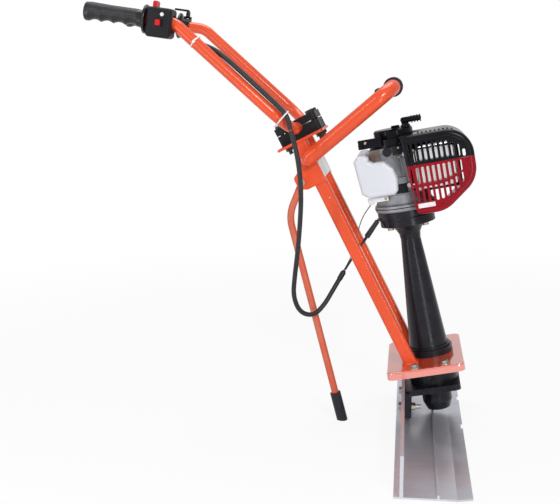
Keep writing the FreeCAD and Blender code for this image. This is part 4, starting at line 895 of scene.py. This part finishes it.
def cover_outline(inset):
    """The engine cover's near outline in the stack's frame, moved in, and its near face."""
    halves = [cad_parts[node] for node in ("shroud_upper", "shroud_lower")]
    spots = [TO_STACK @ vertex.co for half in halves for vertex in half.data.vertices]
    face = min(spot.y for spot in spots)
    flat = {(round(spot.x, 5), round(spot.z, 5)) for spot in spots if spot.y < face + FACE_DEPTH}
    corners = hull_of(sorted(flat))
    even = stepped(corners + corners[:1], RIM_STEP)[:-1]
    outline = []
    for at, spot in enumerate(even):
        along = (even[(at + 1) % len(even)] - even[at - 1]).normalized()
        outline.append(spot + Vector((-along.y, along.x)) * inset)
    return outline, face


def rim_run(outline, keep):
    """The one unbroken run of the outline whose heights are kept."""
    inside = [keep(spot.y) for spot in outline]
    first = next(at for at in range(len(outline)) if inside[at] and not inside[at - 1])
    turned_round = [(first + at) % len(outline) for at in range(len(outline))]
    return [outline[at] for at in turned_round if inside[at]]


class SCREED_OT_cover_rim(bpy.types.Operator):
    """Raises a rounded rim inside the edge of the two-colour engine cover."""
    bl_idname = "screed.cover_rim"
    bl_label = "Cover rim"

    def execute(self, context):
        sizes = context.scene.screed_sizes
        outline, face = cover_outline(sizes.rim_in)
        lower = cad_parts["shroud_lower"].data.vertices
        split = max((TO_STACK @ vertex.co).z for vertex in lower)
        for name, material, slot, keep in (
                ("cover_rim_upper", "gloss_black", "black_plastic", lambda z: z >= split),
                ("cover_rim_lower", "gloss_red", "red_plastic", lambda z: z < split)):
            run = [(spot.x, face, spot.y) for spot in rim_run(outline, keep)]
            piece = round_curve(name, run, "POLY", sizes.rim_thick, 3)[0]
            piece.matrix_world = STACK
            settle(piece, name, material, "frame", 60)
        return {"FINISHED"}


# ---------------------------------------------------------------- cables
class SCREED_OT_cables(bpy.types.Operator):
    """Hangs the throttle cable and the stop wire between the clamp and the engine."""
    bl_idname = "screed.cables"
    bl_label = "Cables"

    def execute(self, context):
        sizes = context.scene.screed_sizes
        for name, node, route, thickness, material, stiffness in (
                ("throttle_cable", "cable_hanging", HANGING_ROUTE, sizes.cable, "cable_black", "stiff"),
                ("stop_lead", "stop_wire", WIRE_ROUTE, sizes.wire, "lead_grey", "medium")):
            piece, spline = round_curve(name, route, "NURBS", thickness / 2, 6)
            spline.order_u = 3
            spline.use_endpoint_u = True
            piece.data.materials.append(bpy.data.materials[material])
            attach(piece, "frame")
            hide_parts(node)
        return {"FINISHED"}


# ---------------------------------------------------------------- stage
FLOOR_SIDE = 14
FLOOR_SHADE = 0.88  # how white the floor is under the machine; it is all white far out
SHADE_FROM = 0.6
SHADE_TO = 2.2
WORLD_LIGHT = 0.32
MIRRORED_WHITE = 0.55  # share of the white that shiny pieces mirror
MIDDLE = (-0.15, 0, 0.4)

# Soft lamps: name, place, what each looks at, width, height and power in watts.
LAMPS = (
    ("key", (0.9, -2.6, 2.0), MIDDLE, 0.7, 0.7, 44),
    ("fill", (-1.9, -2.1, 1.9), MIDDLE, 0.4, 1.4, 14),
    ("top", (-0.2, 0.6, 2.8), MIDDLE, 1.4, 1.4, 30),
    ("near_strip", (0.50, -1.3, 0.32), (-0.05, 0, 0.35), 0.08, 0.6, 2.6),
    ("side_strip", (-1.0, -0.9, 0.45), (-0.05, 0, 0.4), 0.08, 0.8, 2.2),
)
CAMERA_PLACE = (-0.063, -1.972, 0.689)
CAMERA_TURN = 7.23
CAMERA_TILT = 79.7
SENSOR_WIDTH = 36  # millimetres


def floor_material(colour):
    """Pale floor that looks white to the camera and still takes a soft shadow."""
    material = bpy.data.materials.new("studio_white")
    material.use_nodes = True
    tree = material.node_tree
    shader = shader_of(material)
    shader.inputs["Base Color"].default_value = rgba(colour)
    shader.inputs["Roughness"].default_value = 0.9
    shader.inputs["Specular IOR Level"].default_value = 0.1
    rays = add(tree, "ShaderNodeLightPath")
    seen = math_node(tree, "MAXIMUM", rays.outputs["Is Camera Ray"], rays.outputs["Is Glossy Ray"])
    seen = math_node(tree, "MAXIMUM", seen, rays.outputs["Is Transmission Ray"])
    glow = add(tree, "ShaderNodeEmission")
    glow.inputs["Color"].default_value = (1, 1, 1, 1)
    where = add(tree, "ShaderNodeTexCoord")
    away = add(tree, "ShaderNodeVectorMath", operation="LENGTH")
    tree.links.new(where.outputs["Object"], away.inputs[0])
    fade = add(tree, "ShaderNodeMapRange", interpolation_type="SMOOTHSTEP")
    for label, value in (("From Min", SHADE_FROM), ("From Max", SHADE_TO), ("To Min", FLOOR_SHADE)):
        fade.inputs[label].default_value = value
    tree.links.new(away.outputs["Value"], fade.inputs["Value"])
    mix = add(tree, "ShaderNodeMixShader")
    tree.links.new(math_node(tree, "MULTIPLY", seen, fade.outputs["Result"]), mix.inputs["Fac"])
    tree.links.new(shader.outputs["BSDF"], mix.inputs[1])
    tree.links.new(glow.outputs["Emission"], mix.inputs[2])
    tree.links.new(mix.outputs["Shader"], tree.nodes["Material Output"].inputs["Surface"])
    return material


def studio_world():
    """Even grey light for the object and white for what is seen directly or mirrored."""
    world = bpy.data.worlds.new("studio")
    world.use_nodes = True
    tree = world.node_tree
    base = tree.nodes["Background"]
    base.inputs["Color"].default_value = (0.95, 0.97, 1.0, 1)
    base.inputs["Strength"].default_value = WORLD_LIGHT
    white = add(tree, "ShaderNodeBackground")
    white.inputs["Color"].default_value = (1, 1, 1, 1)
    rays = add(tree, "ShaderNodeLightPath")
    seen = math_node(tree, "MAXIMUM", rays.outputs["Is Camera Ray"], rays.outputs["Is Transmission Ray"])
    mirrored = math_node(tree, "MULTIPLY", rays.outputs["Is Glossy Ray"], MIRRORED_WHITE)
    mix = add(tree, "ShaderNodeMixShader")
    tree.links.new(math_node(tree, "MAXIMUM", seen, mirrored), mix.inputs["Fac"])
    tree.links.new(base.outputs["Background"], mix.inputs[1])
    tree.links.new(white.outputs["Background"], mix.inputs[2])
    tree.links.new(mix.outputs["Shader"], tree.nodes["World Output"].inputs["Surface"])
    return world


def soft_box(name, place, target, width, height, power):
    """A soft lamp that looks at a point and isn't itself in view."""
    lamp = bpy.data.lights.new(name, "AREA")
    lamp.shape = "RECTANGLE"
    lamp.size = width
    lamp.size_y = height
    lamp.energy = power
    thing = bpy.data.objects.new(name, lamp)
    way = (Vector(target) - Vector(place)).to_track_quat("-Z", "Y")
    thing.matrix_world = Matrix.Translation(place) @ way.to_matrix().to_4x4()
    thing.visible_camera = False
    bpy.context.collection.objects.link(thing)


def studio_camera(focal):
    """The camera at its place, turned about Z and tilted up from looking straight down."""
    lens = bpy.data.cameras.new("studio_camera")
    lens.lens = focal
    lens.sensor_width = SENSOR_WIDTH
    camera = bpy.data.objects.new("studio_camera", lens)
    turn = Matrix.Rotation(math.radians(CAMERA_TURN), 4, "Z")
    tilt = Matrix.Rotation(math.radians(CAMERA_TILT), 4, "X")
    camera.matrix_world = Matrix.Translation(CAMERA_PLACE) @ turn @ tilt
    bpy.context.collection.objects.link(camera)
    return camera


class SCREED_OT_stage(bpy.types.Operator):
    """Sets the pale floor, the soft lamps and the camera."""
    bl_idname = "screed.stage"
    bl_label = "Studio stage"

    def execute(self, context):
        scene = context.scene
        bpy.ops.object.select_all(action="DESELECT")
        bpy.ops.mesh.primitive_plane_add(size=FLOOR_SIDE)
        floor = context.object
        floor.name = "studio_floor"
        floor.data.materials.append(floor_material(scene.screed_colours.floor))
        scene.world = studio_world()
        for row in LAMPS:
            soft_box(*row)
        scene.camera = studio_camera(scene.screed_sizes.lens)
        scene.view_settings.view_transform = "Standard"
        return {"FINISHED"}


# ---------------------------------------------------------------- panel and run
class SCREED_PT_panel(bpy.types.Panel):
    """Lists the screed's colours, sizes and steps."""
    bl_idname = "SCREED_PT_panel"
    bl_label = "Screed"
    bl_space_type = "VIEW_3D"
    bl_region_type = "UI"
    bl_category = "Screed"

    def draw(self, context):
        for group in (context.scene.screed_colours, context.scene.screed_sizes):
            for name in group.bl_rna.properties.keys():
                if name not in ("rna_type", "name"):
                    self.layout.prop(group, name)
        for step in STEPS:
            self.layout.operator(step.bl_idname)


STEPS = (SCREED_OT_finishes, SCREED_OT_grips, SCREED_OT_ties, SCREED_OT_welds, SCREED_OT_fittings,
         SCREED_OT_pull_ribs, SCREED_OT_rings, SCREED_OT_screws, SCREED_OT_crankcase,
         SCREED_OT_cover_rim, SCREED_OT_cables, SCREED_OT_stage)
CLASSES = (ScreedColours, ScreedSizes, *STEPS, SCREED_PT_panel)


def register():
    """Registers the classes and hangs the colours and sizes on the scene."""
    for one in CLASSES:
        bpy.utils.register_class(one)
    bpy.types.Scene.screed_colours = bpy.props.PointerProperty(type=ScreedColours)
    bpy.types.Scene.screed_sizes = bpy.props.PointerProperty(type=ScreedSizes)


def unregister():
    """Takes away what register added."""
    del bpy.types.Scene.screed_sizes
    del bpy.types.Scene.screed_colours
    for one in reversed(CLASSES):
        bpy.utils.unregister_class(one)


def main():
    """Runs every step."""
    register()
    for step in STEPS:
        category, name = step.bl_idname.split(".")
        getattr(getattr(bpy.ops, category), name)()


if __name__ == "__main__":
    main()
